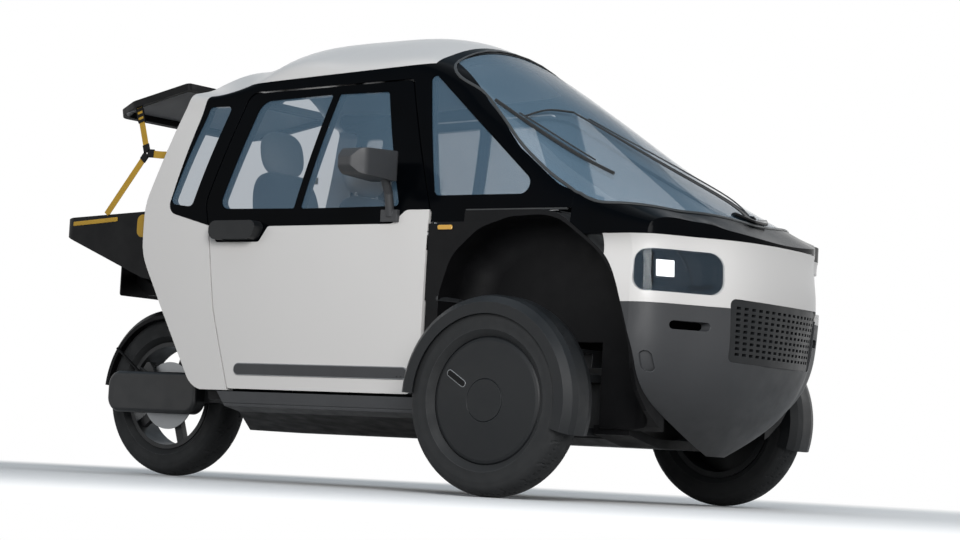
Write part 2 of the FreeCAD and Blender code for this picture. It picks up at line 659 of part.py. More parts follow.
def bulkhead():
    """Wall behind the seats over the rear wheel, with the ears that hold the swinging arm."""
    start = D.floor_end + D.seat_clearance
    half = D.cab_half_width - D.wall - 6
    outline = [(start, 100), (start + 30, 100), (1420, 345), (1500, 420), (1626, 640), (1699.4, 767),
        (1655.7, 776), (1596, 660), (1476, 450), (1396, 372), (start, 300)]
    wall = side_prism(outline, 0, -half, half).common(belly_wedge(D.floor_thickness + D.seat_clearance))
    lug = side_prism([(1680, 764), (1660, 735), (1776, 732), (1780, 745), (1776, 758)], 0, -76, -61)
    wall = wall.fuse(lug).fuse(mirrored(lug))
    wall = wall.fuse(rod((-76, 1765, 745), (76, 1765, 745), D.hinge_radius))
    s = D.pivot_station
    z = D.pivot_height
    ear = side_prism([(1392, z - 52), (1420, z + 36), (s + 14, z + 26), (s + 28, z), (s + 14, z - 26)],
        [0, 0, 14, 14, 14], -148, -130)
    wall = wall.fuse(ear).fuse(mirrored(ear))
    wall = wall.fuse(rod((-148, s, z), (148, s, z), D.pivot_radius))
    feature("rear_bulkhead", wall)


def flap():
    """Rear flap, shown open: a hollow-backed lid hinged under the roof's rear edge."""
    hinge = Vector(0, at(1640), 1444)
    length = D.flap_length
    outline = [(-D.flap_half_width, 14), (D.flap_half_width, 14), (D.flap_half_width - 10, length * 0.7),
               (D.flap_half_width - 70, length), (-D.flap_half_width + 70, length), (-D.flap_half_width + 10,
                   length * 0.7)]
    wire = rounded_wire(outline, [16, 16, 60, 60, 60, 60], lambda x, y: Vector(x, y, -D.flap_thickness))
    lid = Part.Face(wire).extrude(Vector(0, 0, D.flap_thickness))
    inner = rounded_wire(grown(outline, -22), [10, 10, 50, 50, 50, 50], lambda x,
        y: Vector(x, y, -D.flap_thickness - 1))
    lid = lid.cut(Part.Face(inner).extrude(Vector(0, 0, D.flap_thickness - 7)))
    knuckle = Part.makeCylinder(D.hinge_radius + 4, 120, Vector(-60, 0, 0), Vector(1, 0, 0))
    knuckle = knuckle.fuse(Part.makeBox(120, 24, 12, Vector(-60, 0, -13)))
    lid = lid.fuse(knuckle.cut(Part.makeCylinder(D.hinge_radius + D.running_clearance, 140,
        Vector(-70, 0, 0), Vector(1, 0, 0))))
    lid.rotate(Vector(0, 0, 0), Vector(1, 0, 0), -D.flap_droop)
    lid.translate(hinge)
    feature("rear_flap", lid)


def tray():
    """Tail tray, shown open: a wedge-shaped scoop, deep at its hinge and shallow at its lip."""
    half = D.tray_half_width
    wall = D.tray_wall
    side = [(1784, 716), (1844, 726), (2236, 874), (2364, 922), (2358, 936), (2230, 955), (1784, 974)]
    shape = side_prism(side, [20, 40, 30, 4, 4, 60, 0], -half, half)
    plan = [(-half, 1740), (half, 1740), (half - 22, 2260), (150, 2370), (-150, 2370), (-half + 22, 2260)]
    plan_radii = [0, 0, 60, 60, 60, 60]
    shape = shape.common(plan_prism(plan, plan_radii, 600, 1100))
    inside = [(1700, 726), (1842, 737), (2226, 886), (2312, 919), (2312, 1100), (1700, 1100)]
    hollow = side_prism(inside, [0, 40, 30, 0, 0, 0], -half, half)
    hollow = hollow.common(plan_prism(grown(plan, -wall), plan_radii, 600, 1200))
    shape = shape.cut(hollow)
    knuckle = rod((-60, 1765, 745), (60, 1765, 745), D.hinge_radius + 4)
    knuckle = knuckle.fuse(side_prism([(1765, 732), (1765, 745), (1800, 745), (1800, 722)], 0, -60, 60))
    shape = shape.fuse(knuckle.cut(rod((-80, 1765, 745), (80, 1765, 745),
        D.hinge_radius + D.running_clearance)))
    feature("tail_tray", shape)


def plate_holder():
    """Bracket and blank upright plate board below the tray."""
    board = front_prism([(-130, 682), (130, 682), (130, 815), (-130, 815)], 10, 2212, D.board_face)
    stalk = side_prism([(1663.6, 704), (1647.4, 676), (2150, 690), (2212, 735), (2213, 775), (2130, 730)], 0,
        -45, 45)
    feature("plate_holder", board.fuse(stalk))


def revolved(name, points, centre_x, station, height):
    """Body turned about an axle: points are (radius, offset along the axle)."""
    body = doc.addObject("PartDesign::Body", name)
    body.Label = name
    plane = [f for f in body.Origin.OriginFeatures if f.Role == "XY_Plane"][0]
    axis = [f for f in body.Origin.OriginFeatures if f.Role == "X_Axis"][0]
    sketch = body.newObject("Sketcher::SketchObject", name + "_profile")
    sketch.AttachmentSupport = [(plane, "")]
    sketch.MapMode = "FlatFace"
    count = len(points)
    for i in range(count):
        a = points[i]
        b = points[(i + 1) % count]
        sketch.addGeometry(Part.LineSegment(Vector(a[1], a[0], 0), Vector(b[1], b[0], 0)), False)
    turn = body.newObject("PartDesign::Revolution", name + "_turn")
    turn.Profile = sketch
    turn.ReferenceAxis = (axis, [""])
    turn.Angle = 360
    body.Placement.Base = Vector(centre_x, at(station), height)
    doc.recompute()
    return body


def tyre_profile(width):
    """Round-shouldered tyre section as (radius, offset) pairs."""
    outer_r = D.tyre_radius
    bead = D.bead_radius
    half = width / 2
    depth = outer_r - bead
    points = [(bead, half * 0.68)]
    for share, side in ((0.10, 0.86), (0.34, 0.99), (0.52, 1.0), (0.70, 0.93), (0.85, 0.75), (0.945, 0.48),
        (0.99, 0.22), (1.0, 0.0)):
        points.append((bead + depth * share, half * side))
    return points + [(r, -x) for r, x in reversed(points[:-1])]


def tyres():
    """The three tyres."""
    for name, x, station, width in (
            ("tyre_front_right", -D.track / 2, 0, D.front_tyre_width),
            ("tyre_front_left", D.track / 2, 0, D.front_tyre_width),
            ("tyre_rear", 0, D.wheelbase, D.rear_tyre_width)):
        body = revolved(name, tyre_profile(width), x, station, D.tyre_radius)
        NODES.append(body)


def front_rims():
    """Rim barrel, hub and the flat dark cover with its round cap and small slot."""
    bore = D.stub_radius + D.running_clearance
    half = D.front_rim_width / 2
    seat = D.bead_radius - D.seat_clearance
    inner = seat - D.rim_depth
    cover = half + 2
    wall = D.cover_thickness
    profile = [
        (bore, -30), (D.hub_radius, -30), (D.hub_radius, cover - 14 - wall), (inner - 4, cover - wall - 8),
        (inner - 4, -half), (seat, -half), (seat, -half + 8), (seat - 7, -half + 14), (seat - 7, half - 14),
        (seat, half - 8), (seat, cover - 8), (seat - 5, cover - 3), (seat - 14, cover),
        (D.cap_radius + 4, cover + D.cover_dish), (D.cap_radius + 2, cover + D.cover_dish - 2.5),
        (D.cap_radius, cover + D.cover_dish + 1), (0, cover + D.cover_dish + 1), (0, cover - 14), (bore,
            cover - 14),
    ]
    for name, sign in (("rim_front_right", -1), ("rim_front_left", 1)):
        points = [(r, x * sign) for r, x in profile]
        body = revolved(name, points, sign * D.track / 2, 0, D.tyre_radius)
        NODES.append(body)


def rear_rim():
    """Rear rim with five open spokes and the brake disc beside them."""
    bore = D.rear_axle_radius + D.running_clearance
    half = D.rear_rim_width / 2
    seat = D.bead_radius - D.seat_clearance
    inner = seat - D.rim_depth
    centre = Vector(0, at(D.wheelbase), D.tyre_radius)
    along = Vector(1, 0, 0)

    def ring(outer_r, inner_r, low, high):
        base = centre + along * low
        return Part.makeCylinder(outer_r, high - low, base, along).cut(
            Part.makeCylinder(inner_r, high - low, base, along))

    rim = ring(seat, inner, -half, half)
    rim = rim.cut(ring(seat + 5, seat - 7, -half + 12, half - 12))
    rim = rim.fuse(ring(D.hub_radius + 6, bore, -48, 48))
    for i in range(5):
        spoke = Part.makeBox(26, 34, inner - D.hub_radius + 10,
            Vector(-34, at(D.wheelbase) - 17, D.tyre_radius + D.hub_radius))
        spoke.rotate(centre, along, 72 * i + 18)
        rim = rim.fuse(spoke)
    feature("rim_rear", rim)
    disc = ring(D.disc_radius, 62, -56, -56 + D.disc_thickness)
    carrier = ring(70, D.hub_radius + 6.2, -51, -46)
    feature("brake_disc", disc.fuse(carrier))


def mudguard(name, x, station, radius, half, from_angle, to_angle, drop):
    """Curved guard over a tyre: a U section turned part of a circle about the axle."""
    outer_r = radius + D.guard_thickness
    wall = D.guard_thickness
    section = [(outer_r - drop, -half), (outer_r - 26, -half), (outer_r - 6, -half + 22),
        (outer_r, -half + 48), (outer_r, half - 48),
               (outer_r - 6, half - 22), (outer_r - 26, half), (outer_r - drop, half), (outer_r - drop,
                   half - wall),
               (outer_r - 27, half - wall), (outer_r - 12, half - 24), (outer_r - wall, half - 49),
               (outer_r - wall, -half + 49), (outer_r - 12, -half + 24), (outer_r - 27,
                   -half + wall), (outer_r - drop, -half + wall)]
    points = [Vector(x + b, at(station), D.tyre_radius + a) for a, b in section]
    face = Part.Face(Part.makePolygon(points + [points[0]]))
    centre = Vector(x, at(station), D.tyre_radius)
    face.rotate(centre, Vector(1, 0, 0), from_angle)
    return face.revolve(centre, Vector(1, 0, 0), to_angle - from_angle)


def front_corners():
    """Each steered corner: upright with kingpin, stub axle and guard stays, and its mudguard."""
    x = -D.track / 2
    pin_x = x + D.kingpin_offset
    axle = D.tyre_radius
    radius = D.tyre_radius + D.guard_gap
    half = D.front_tyre_width / 2 + D.guard_side
    guard = mudguard("guard", x, 0, radius, half, -87, 107, 62)
    pin = rod((pin_x, 0, D.arm_low_height - 22), (pin_x, 0, D.arm_top_height + 22), D.kingpin_radius)
    block = box(pin_x - 22, pin_x + 22, -30, 30, D.arm_low_height + D.arm_thickness / 2 + 1,
        D.arm_top_height - D.arm_thickness / 2 - 1)
    stub = rod((pin_x - 10, 0, axle), (x - 34, 0, axle), D.stub_radius)
    flange = rod((pin_x - 10, 0, axle), (x + 36, 0, axle), 44)
    upright = pin.fuse(block).fuse(stub).fuse(flange)
    stay_x = x + half + 7
    for sign in (-1, 1):
        low = (pin_x, sign * 20, axle + 30)
        mid = (stay_x, sign * 150, axle + 150)
        tip = (stay_x, sign * 215, axle + 195)
        upright = upright.fuse(rod(low, mid, 7)).fuse(rod(mid, tip, 7))
        upright = upright.fuse(Part.makeSphere(7, Vector(mid[0], at(mid[1]), mid[2])))
    upright = upright.cut(guard)
    upright = max(upright.Solids, key=lambda s: s.Volume)
    feature("knuckle_right", upright)
    feature("knuckle_left", mirrored(upright))
    feature("mudguard_front_right", guard)
    feature("mudguard_front_left", mirrored(guard))


def suspension():
    """Wishbones on each side, the cross box that carries them and the coil springs."""
    pin_x = -D.track / 2 + D.kingpin_offset
    root = -D.arm_root - D.seat_clearance
    arms = []
    for height in (D.arm_low_height, D.arm_top_height):
        low = height - D.arm_thickness / 2
        plan = [(pin_x - 24, -24), (pin_x - 24, 24), (root - 60, 105), (root, 105), (root, -105),
            (root - 60, -105)]
        arm = plan_prism(plan, [24, 24, 20, 0, 0, 20], low, low + D.arm_thickness)
        hole = plan_prism([(-384, -24), (-384, 24), (-330, 60), (-330, -60)], 8, low - 5,
            low + D.arm_thickness + 5)
        if height > D.arm_low_height:
            hole = plan_prism([(pin_x + 70, -8), (pin_x + 70, 8), (-290, 66), (-290, -66)], 8, low - 5,
                low + 40)
        arm = arm.cut(hole)
        eye = rod((pin_x, 0, low - 10), (pin_x, 0, low + 60), D.kingpin_radius + D.running_clearance)
        arms.append(arm.cut(eye))
    feature("wishbones", Part.makeCompound(arms + [mirrored(a) for a in arms]))
    half = D.crossbox_half
    shell = box(-D.arm_root, D.arm_root, -half, half, 100, 440).common(belly_wedge(0))
    shell = shell.cut(box(-D.arm_root + 14, D.arm_root - 14, -half + 14, half - 14, D.belly_height + 40, 426))
    top = (D.spring_top_x, D.spring_top_z)
    tower = box(-336, 336, -44, 44, top[1] + 16, top[1] + 30).fuse(box(-240, 240, -44, 44, 440, top[1] + 16))
    feature("front_crossbox", shell.fuse(tower).removeSplitter())
    foot = D.arm_low_height + D.arm_thickness / 2
    springs = []
    for sign in (-1, 1):
        springs.append(coil((sign * 432, 0, foot), (sign * top[0], 0, top[1] + 16), 24, 33, 7))
    springs.append(coil((-99.5, 1866, 349.6), (-99.5, 1618.8, 618.9), 13, 20, 7))
    keep = box(-WIDE, WIDE, -500, 2500, foot + D.seat_clearance, top[1] + 15.7)
    springs = [springs[0].common(keep), springs[1].common(keep), springs[2]]
    feature("coil_springs", Part.makeCompound(springs))


def coil(start, end, core, rim, turns):
    """Spring on its damper, drawn as a core with a ring for each turn."""
    a = Vector(start[0], at(start[1]), start[2])
    b = Vector(end[0], at(end[1]), end[2])
    length = (b - a).Length
    profile = [(0, 0), (core, 0)]
    pitch = length / turns
    for i in range(turns):
        z = i * pitch
        profile += [(core, z + pitch * 0.25), (rim, z + pitch * 0.38), (rim, z + pitch * 0.62),
            (core, z + pitch * 0.75)]
    profile += [(core, length), (0, length)]
    face = Part.Face(Part.makePolygon([Vector(r, 0, z) for r, z in profile] + [Vector(0, 0, 0)]))
    spring = face.revolve(Vector(0, 0, 0), Vector(0, 0, 1), 360)
    turn = FreeCAD.Rotation(Vector(0, 0, 1), b - a)
    spring.Placement = FreeCAD.Placement(a, turn)
    return spring


def swinging_arm():
    """Rear arm with both legs, axle, caliper and the drive cover on the right."""
    s = D.wheelbase
    axle = D.tyre_radius
    pivot = D.pivot_station
    z = D.pivot_height
    leg = side_prism([(pivot, z - 26), (pivot, z + 26), (s + 40, 340), (s + 40, 270)], 20, -124, -100)
    legs = leg.fuse(mirrored(leg)).fuse(rod((-124, pivot, z), (124, pivot, z), 26))
    legs = legs.fuse(box(-110, 110, pivot, pivot + 60, z - 20, z + 20))
    legs = legs.cut(rod((-130, pivot, z), (130, pivot, z), D.pivot_radius + D.running_clearance))
    shaft = rod((-112, s, axle), (112, s, axle), D.rear_axle_radius)
    collars = rod((-112, s, axle), (-53.5, s, axle), 22).fuse(rod((53.5, s, axle), (112, s, axle), 22))
    caliper = side_prism([(s + 89, 337), (s + 155, 361), (s + 95, 440), (s + 54, 383)], 14, -76, -40)
    caliper = caliper.cut(rod((-61.5, s, axle), (-45.5, s, axle), D.disc_radius + 6))
    lug = side_prism([(s + 10, 312), (s + 150, 380), (s + 130, 410), (s - 12, 326)], 6, -80, -68)
    arm = legs.fuse(shaft).fuse(collars).fuse(caliper).fuse(lug)
    half = D.cover_height / 2
    mid = s - 20
    cover = side_prism([(mid - D.cover_length / 2, 312 - half), (mid - D.cover_length / 2, 312 + half),
                        (mid + D.cover_length / 2, 312 + half), (mid + D.cover_length / 2, 312 - half)], 56,
                       -122 - D.cover_width, -122)
    rim = [e for e in cover.Edges if abs(e.BoundBox.XMin + 122 + D.cover_width) < 0.1
        and e.BoundBox.XLength < 0.1]
    cover = cover.makeFillet(16, rim)
    feature("swinging_arm", arm.fuse(cover))
    radius = D.tyre_radius + 22
    guard = mudguard("rear", 0, s, radius, D.rear_tyre_width / 2 + 12, -84, 6, 40)
    stay_x = D.rear_tyre_width / 2 + 16
    stay = rod((-stay_x, s + 40, 330), (-stay_x, s + 250, 480), 5)
    foot = box(-99.7, -stay_x + 4, s + 30, s + 42, 314, 338)
    stays = stay.fuse(foot)
    feature("mudguard_rear", guard.fuse(stays).fuse(mirrored(stays)))


def cabin():
    """Seats, dashboard, steering yoke and battery."""
    half = D.seat_width / 2

    def seat(station, base, recline, head):
        cushion = side_prism([(station - 430, base), (station - 430, base + 120), (station - 60, base + 95),
                              (station, base + 100), (station, base)], [30, 52, 120, 10, 30], -half, half)
        back = front_prism([(-half, 0), (half, 0), (half - 24, 560), (-half + 24, 560)], [20, 20, 90, 90],
            -45, 45)
        rest = front_prism([(-125, 545), (125, 545), (118, 560 + head), (-118, 560 + head)],
            [30, 30, 62, 62], -38, 38)
        upper = back.fuse(rest)
        upper.rotate(Vector(0, at(0), 0), Vector(1, 0, 0), -recline)
        upper.translate(Vector(0, station, base + 40))
        return cushion.fuse(upper)

    floor = D.belly_height + D.floor_thickness + D.seat_clearance
    front = seat(1000, 470, 14, 190).fuse(box(-148, 148, 640, 960, floor + D.battery_height, 500))
    rear = seat(1440, 560, 10, 170).fuse(box(-148, 148, 1060, 1330, floor, 590))
    feature("seats", Part.makeCompound([front, rear]))
    outline = [(-60, 700), (-60, 880), (60, 960), (200, 950), (230, 900), (120, 800), (100, 700)]
    wide = D.liner_inner - D.seat_clearance
    feature("dashboard", side_prism(outline, 24, -wide, wide))
    column = rod((0, 130, 820), (0, 330, 960), 22)
    bar = rod((-230, 345, 990), (230, 345, 990), 14).fuse(rod((0, 330, 960), (0, 345, 990), 24))
    grips = rod((-250, 345, 990), (-150, 345, 990), 19).fuse(rod((150, 345, 990), (250, 345, 990), 19))
    seat_hole = side_prism(grown(outline, D.seat_clearance), 24, -wide, wide)
    feature("steering_bar", column.fuse(bar).fuse(grips).cut(seat_hole))
    battery = doc.addObject("Part::Box", "battery")
    battery.Label = "battery"
    battery.setExpression("Length", "Sizes.battery_width")
    battery.setExpression("Width", "Sizes.battery_length")
    battery.setExpression("Height", "Sizes.battery_height")
    battery.setExpression("Placement.Base.x", "-Sizes.battery_width / 2")
    battery.setExpression("Placement.Base.y", "Sizes.front_axle_y + 560")
    battery.setExpression("Placement.Base.z", "Sizes.belly_height + Sizes.floor_thickness")
    NODES.append(battery)


def straps():
    """Webbing that holds the open tray: flap to ring, ring to body, ring to tray."""
    parts = []
    ring = (-404, 1862, 1190)
    for end in ((-404, 1990, 1347.7), (-404, 1700, 1180), (-404, 2050, 964)):
        a = Vector(ring[0], at(ring[1]), ring[2])
        b = Vector(end[0], at(end[1]), end[2])
        band = Part.makeBox(D.strap_width, D.strap_thickness, (b - a).Length,
            Vector(-D.strap_width / 2, -D.strap_thickness / 2, 0))
        band.Placement = FreeCAD.Placement(a, FreeCAD.Rotation(Vector(0, 0, 1), b - a))
        parts.append(band)
    web = parts[0].fuse(parts[1]).fuse(parts[2])
    feature("straps", Part.makeCompound([web, mirrored(web)]))


cab_shell()
cab_frame()
cowl()
side_windows()
windscreen()
doors()
mirrors()
nose()
headlamps()
grille()
liners()
floor_pan()
skirts()
bulkhead()
flap()
tray()
plate_holder()
tyres()
front_rims()
rear_rim()
front_corners()
suspension()
swinging_arm()
cabin()
straps()

doc.recompute()
for item in doc.Objects:
    bad = [state for state in item.State if state in ("Invalid", "Error")]
    if bad:
        raise RuntimeError("%s did not build: %s" % (item.Name, bad))
os.makedirs("parts", exist_ok=True)
for node in NODES:
    shape = node.Shape
    if shape.isNull() or not shape.isValid():
        raise RuntimeError("%s has no valid shape" % node.Label)
    shape.exportStep("parts/%s.step" % node.Label)
print("%d sub-parts written" % len(NODES))
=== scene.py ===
import math

import bpy
import bmesh
import numpy as np
from mathutils import Matrix, Vector
from mathutils.bvhtree import BVHTree


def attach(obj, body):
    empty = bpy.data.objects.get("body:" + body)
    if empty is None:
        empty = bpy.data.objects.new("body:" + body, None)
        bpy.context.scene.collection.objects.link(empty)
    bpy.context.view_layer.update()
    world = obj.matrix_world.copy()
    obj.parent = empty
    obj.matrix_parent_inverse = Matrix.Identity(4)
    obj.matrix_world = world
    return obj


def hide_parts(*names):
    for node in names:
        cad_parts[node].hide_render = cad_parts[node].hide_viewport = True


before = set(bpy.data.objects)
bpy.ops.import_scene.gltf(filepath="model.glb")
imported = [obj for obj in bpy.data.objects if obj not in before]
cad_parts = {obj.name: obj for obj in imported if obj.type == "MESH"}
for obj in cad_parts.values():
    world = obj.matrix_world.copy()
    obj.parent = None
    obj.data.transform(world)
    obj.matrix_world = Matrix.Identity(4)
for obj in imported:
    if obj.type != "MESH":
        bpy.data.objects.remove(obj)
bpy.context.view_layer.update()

MM = 0.001
FRONT_AXLE_Y = -861.3            # row Y of the front axle in millimetres
WHEELBASE = 2000
AXLE_HEIGHT = 305
TRACK = 1450


def at(x, station, z):
    """A point of the drawing, in millimetres behind the front axle, as a point of the row frame."""
    return Vector((x, station + FRONT_AXLE_Y, z)) * MM


# ---- materials ----

def linear(code):
    """sRGB hex colour as the linear numbers that a shader takes."""
    values = [int(code[i:i + 2], 16) / 255 for i in (0, 2, 4)]
    shades = [v / 12.92 if v <= 0.04045 else ((v + 0.055) / 1.055) ** 2.4 for v in values]
    return (*shades, 1.0)


def add(tree, kind, inputs=None, **settings):
    """Adds one node with its settings, values and links."""
    made = tree.nodes.new("ShaderNode" + kind)
    for name, value in settings.items():
        setattr(made, name, value)
    for name, value in (inputs or {}).items():
        if isinstance(value, bpy.types.NodeSocket):
            tree.links.new(value, made.inputs[name])
        else:
            made.inputs[name].default_value = value
    return made


def blank(name):
    """A new material with its shader and output, and the place of each point of the piece."""
    made = bpy.data.materials.new(name)
    made.use_nodes = True
    tree = made.node_tree
    tree.nodes.clear()
    shader = add(tree, "BsdfPrincipled")
    add(tree, "OutputMaterial", {"Surface": shader.outputs[0]})
    place = add(tree, "TexCoord").outputs["Object"]
    return made, tree, shader, place


def surface(name, colour, roughness, other=None, patch_mm=180, grain_mm=1.0, grain_depth=0.03,
            cells=False, spread=0.08, edge_wear_and_highlight=None, edge_mm=1.2, **sockets):
    """A hard finish: colour that drifts a little, uneven gloss, fine grain, and an edge colour that is partly
    wear and partly a painted highlight.
    """
    made, tree, shader, place = blank(name)
    for key, value in sockets.items():
        shader.inputs[key.replace("_", " ")].default_value = value
    drift = add(tree, "TexNoise", {"Vector": place, "Scale": 1 / (patch_mm * MM), "Detail": 3.0})
    shade = add(tree, "MixRGB", {"Fac": drift.outputs[0], "Color1": linear(colour),
                                 "Color2": linear(other or colour)})
    colour_out = shade.outputs[0]
    gloss = add(tree, "TexNoise", {"Vector": place, "Scale": 1 / (patch_mm * 0.35 * MM),
                                   "Detail": 4.0})
    uneven = add(tree, "MapRange", {"Value": gloss.outputs[0], "From Min": 0.3, "From Max": 0.7,
                                    "To Min": max(0.02, roughness - spread),
                                    "To Max": roughness + spread})
    grains = {"Vector": place, "Scale": 1 / (grain_mm * MM)}
    if cells:
        fine = add(tree, "TexVoronoi", grains).outputs["Distance"]
    else:
        fine = add(tree, "TexNoise", {**grains, "Detail": 2.0}).outputs[0]
    round_edge = add(tree, "Bevel", {"Radius": edge_mm * MM}, samples=4)
    bump = add(tree, "Bump", {"Height": fine, "Distance": grain_depth * MM, "Strength": 0.8,
                              "Normal": round_edge.outputs[0]})
    # Edges get their own colour: partly wear, partly a painted highlight where that colour is lighter than the
    # surface.
    if edge_wear_and_highlight:
        plain = add(tree, "NewGeometry").outputs["Normal"]
        facing = add(tree, "VectorMath", {0: plain, 1: round_edge.outputs[0]},
                     operation="DOT_PRODUCT")
        edge_wear_and_highlight_mask = add(tree, "MapRange", {"Value": facing.outputs["Value"], "From Min": 0.995,
                                        "From Max": 0.86, "To Min": 0.0, "To Max": 0.8})
        edge = add(tree, "MixRGB", {"Fac": edge_wear_and_highlight_mask.outputs[0], "Color1": colour_out,
                                    "Color2": linear(edge_wear_and_highlight)})
        colour_out = edge.outputs[0]
    tree.links.new(colour_out, shader.inputs["Base Color"])
    tree.links.new(uneven.outputs[0], shader.inputs["Roughness"])
    tree.links.new(bump.outputs[0], shader.inputs["Normal"])
    return made


def cloth(name, colour, other, thread_mm, depth, roughness=0.85, ribs=False, turn=0.0, sheen=0.3):
    """A woven fabric: two sets of threads that cross, or the ribs of a webbing."""
    made, tree, shader, place = blank(name)
    shader.inputs["Roughness"].default_value = roughness
    shader.inputs["Sheen Weight"].default_value = sheen
    shader.inputs["Sheen Roughness"].default_value = 0.5
    shader.inputs["Specular IOR Level"].default_value = 0.25
    spun = add(tree, "Mapping", {"Vector": place, "Rotation": (turn, turn, 0.0)})
    threads = []
    scale = 1 / (thread_mm * MM) / 20 * math.pi
    for way in ("X", "Z") if not ribs else ("DIAGONAL", "Z"):
        wave = add(tree, "TexWave", {"Vector": spun.outputs[0], "Scale": scale, "Distortion": 0.6,
                                     "Detail": 1.0}, bands_direction=way)
        threads.append(wave.outputs["Fac"])
    weave = add(tree, "Math", {0: threads[0], 1: threads[1]},
                operation="MULTIPLY" if not ribs else "MAXIMUM")
    fuzz = add(tree, "TexNoise", {"Vector": place, "Scale": 1 / (60 * MM), "Detail": 5.0})
    mixed = add(tree, "Math", {0: weave.outputs[0], 1: fuzz.outputs[0]}, operation="MULTIPLY")
    shade = add(tree, "MixRGB", {"Fac": mixed.outputs[0], "Color1": linear(colour),
                                 "Color2": linear(other)})
    bump = add(tree, "Bump", {"Height": weave.outputs[0], "Distance": depth * MM, "Strength": 0.9})
    tree.links.new(shade.outputs[0], shader.inputs["Base Color"])
    tree.links.new(bump.outputs[0], shader.inputs["Normal"])
    return made


def glass(name, colour, alpha, roughness=0.03, ior=1.5, other=None):
    """See-through sheet: a body tint, the gloss of its face and faint smears in the gloss."""
    made, tree, shader, place = blank(name)
    smear = add(tree, "TexNoise", {"Vector": place, "Scale": 1 / (90 * MM), "Detail": 5.0})
    gloss = add(tree, "MapRange", {"Value": smear.outputs[0], "From Min": 0.35, "From Max": 0.75,
                                   "To Min": roughness * 0.6, "To Max": roughness * 1.6})
    cloudy = add(tree, "TexNoise", {"Vector": place, "Scale": 1 / (420 * MM), "Detail": 2.0})
    tint = add(tree, "MixRGB", {"Fac": cloudy.outputs[0], "Color1": linear(colour),
                                "Color2": linear(other or colour)})
    shader.inputs["Alpha"].default_value = alpha
    shader.inputs["IOR"].default_value = ior
    tree.links.new(tint.outputs[0], shader.inputs["Base Color"])
    tree.links.new(gloss.outputs[0], shader.inputs["Roughness"])
    return made


# Sprayed acrylic enamel over composite: warm white, a clear gloss and a faint orange peel.
WHITE = surface("acrylic_enamel_sprayed_white", "DAD8D6", 0.36, other="D7D5D3", patch_mm=400, grain_mm=9,
                grain_depth=0.02, spread=0.03, Coat_Weight=0.25, Coat_Roughness=0.1)
# Two-pack lacquer, polished: almost black, mirror-like but with little glare.
BLACK = surface("polyurethane_lacquer_polished_black", "030405", 0.16, other="05070B", grain_mm=8,
                grain_depth=0.01, edge_wear_and_highlight="0E1013", Specular_IOR_Level=0.03)
# Talc-filled polypropylene from a spark-eroded mould: mid charcoal, soft sheen, leathery grain.
CHARCOAL = surface("polypropylene_moulded_grained_charcoal", "3A3B3D", 0.52, other="333436", cells=True,
                   grain_mm=1.6, grain_depth=0.10, edge_wear_and_highlight="55575A", edge_mm=2.0, Specular_IOR_Level=0.45)
# The same plastic, darker and coarser, for arch liners and the underside.
PLASTIC = surface("polypropylene_moulded_rough_black", "0B0B0C", 0.55, other="08080A", cells=True,
                  grain_mm=2.2, grain_depth=0.12, edge_wear_and_highlight="202123", Specular_IOR_Level=0.16)
# Polyamide wheel cover: satin and darker than the tyre, with a fine etched grain.
COVER = surface("polyamide_moulded_satin_cover", "141618", 0.46, other="111315", cells=True, grain_mm=1.2,
                grain_depth=0.05, edge_wear_and_highlight="3E4144", Specular_IOR_Level=0.34)
# Cast aluminium under a matt powder coat: slightly pebbled black.
ALLOY = surface("cast_aluminium_powder_coated_black", "0F1011", 0.5, other="17181A", grain_mm=2.8,
                grain_depth=0.08, edge_wear_and_highlight="35373A")
# Welded steel under satin stove enamel.
FRAME_PAINT = surface("steel_stove_enamelled_satin_black", "17191B", 0.42, other="101113", grain_mm=3.5,
                      grain_depth=0.04, edge_wear_and_highlight="3A3D40", edge_mm=1.5)
# Spring steel under yellow powder coat.
YELLOW_PAINT = surface("spring_steel_powder_coated_yellow", "C8A227", 0.4, other="B88F1E", grain_mm=2.5,
                       grain_depth=0.05, edge_wear_and_highlight="8C7A3A")
# Vulcanised rubber: dull dark grey, dusty in patches; the pale grey on its edges is a painted highlight.
RUBBER = surface("rubber_vulcanised_black", "202122", 0.7, other="272829", patch_mm=120, grain_mm=1.4,
                 grain_depth=0.08, edge_wear_and_highlight="5A5C5E", edge_mm=2.2, Specular_IOR_Level=0.3)
# Polished zinc and cast aluminium of the caliper: light metal with soft glints.
CAST_METAL = surface("cast_aluminium_tumbled", "A4A6A8", 0.34, other="8C8E91", grain_mm=2.2, grain_depth=0.08,
                     edge_wear_and_highlight="D8DADC", Metallic=1.0)
# Acrylic sheet and moulding in the lamp: white, lit from within.
LIGHT = surface("acrylic_frosted_white", "F4F6F8", 0.3, grain_mm=3.0, grain_depth=0.02,
                Emission_Color=linear("FFFFFF"), Emission_Strength=1.5)
# Amber acrylic of the side marker.
AMBER = surface("acrylic_moulded_amber", "C98F22", 0.22, other="D8A63A", grain_mm=3.0, grain_depth=0.06,
                Coat_Weight=0.5)
# Silvered glass of the mirrors.
SILVERED = surface("glass_silvered_mirror", "C9CDD0", 0.04, grain_mm=40, grain_depth=0.002, spread=0.02,
                   Metallic=1.0)
# Thin aluminium edging, satin anodised.
EDGING = surface("aluminium_anodised_satin", "8E9092", 0.38, other="858789", grain_mm=1.0, grain_depth=0.01,
                 Metallic=0.6)
# Extruded rubber gasket round the windscreen: grey-black, waxy.
GASKET = surface("epdm_rubber_extruded_gasket", "3A3C3D", 0.5, other="303233", grain_mm=1.5, grain_depth=0.03)
# Pale grey thermoformed panel inside the rear flap and the cab.
LINING = surface("abs_thermoformed_pale_grey", "B6B7BA", 0.55, other="ABACB0", cells=True, grain_mm=2.0,
                 grain_depth=0.08, edge_wear_and_highlight="A6A7AA")
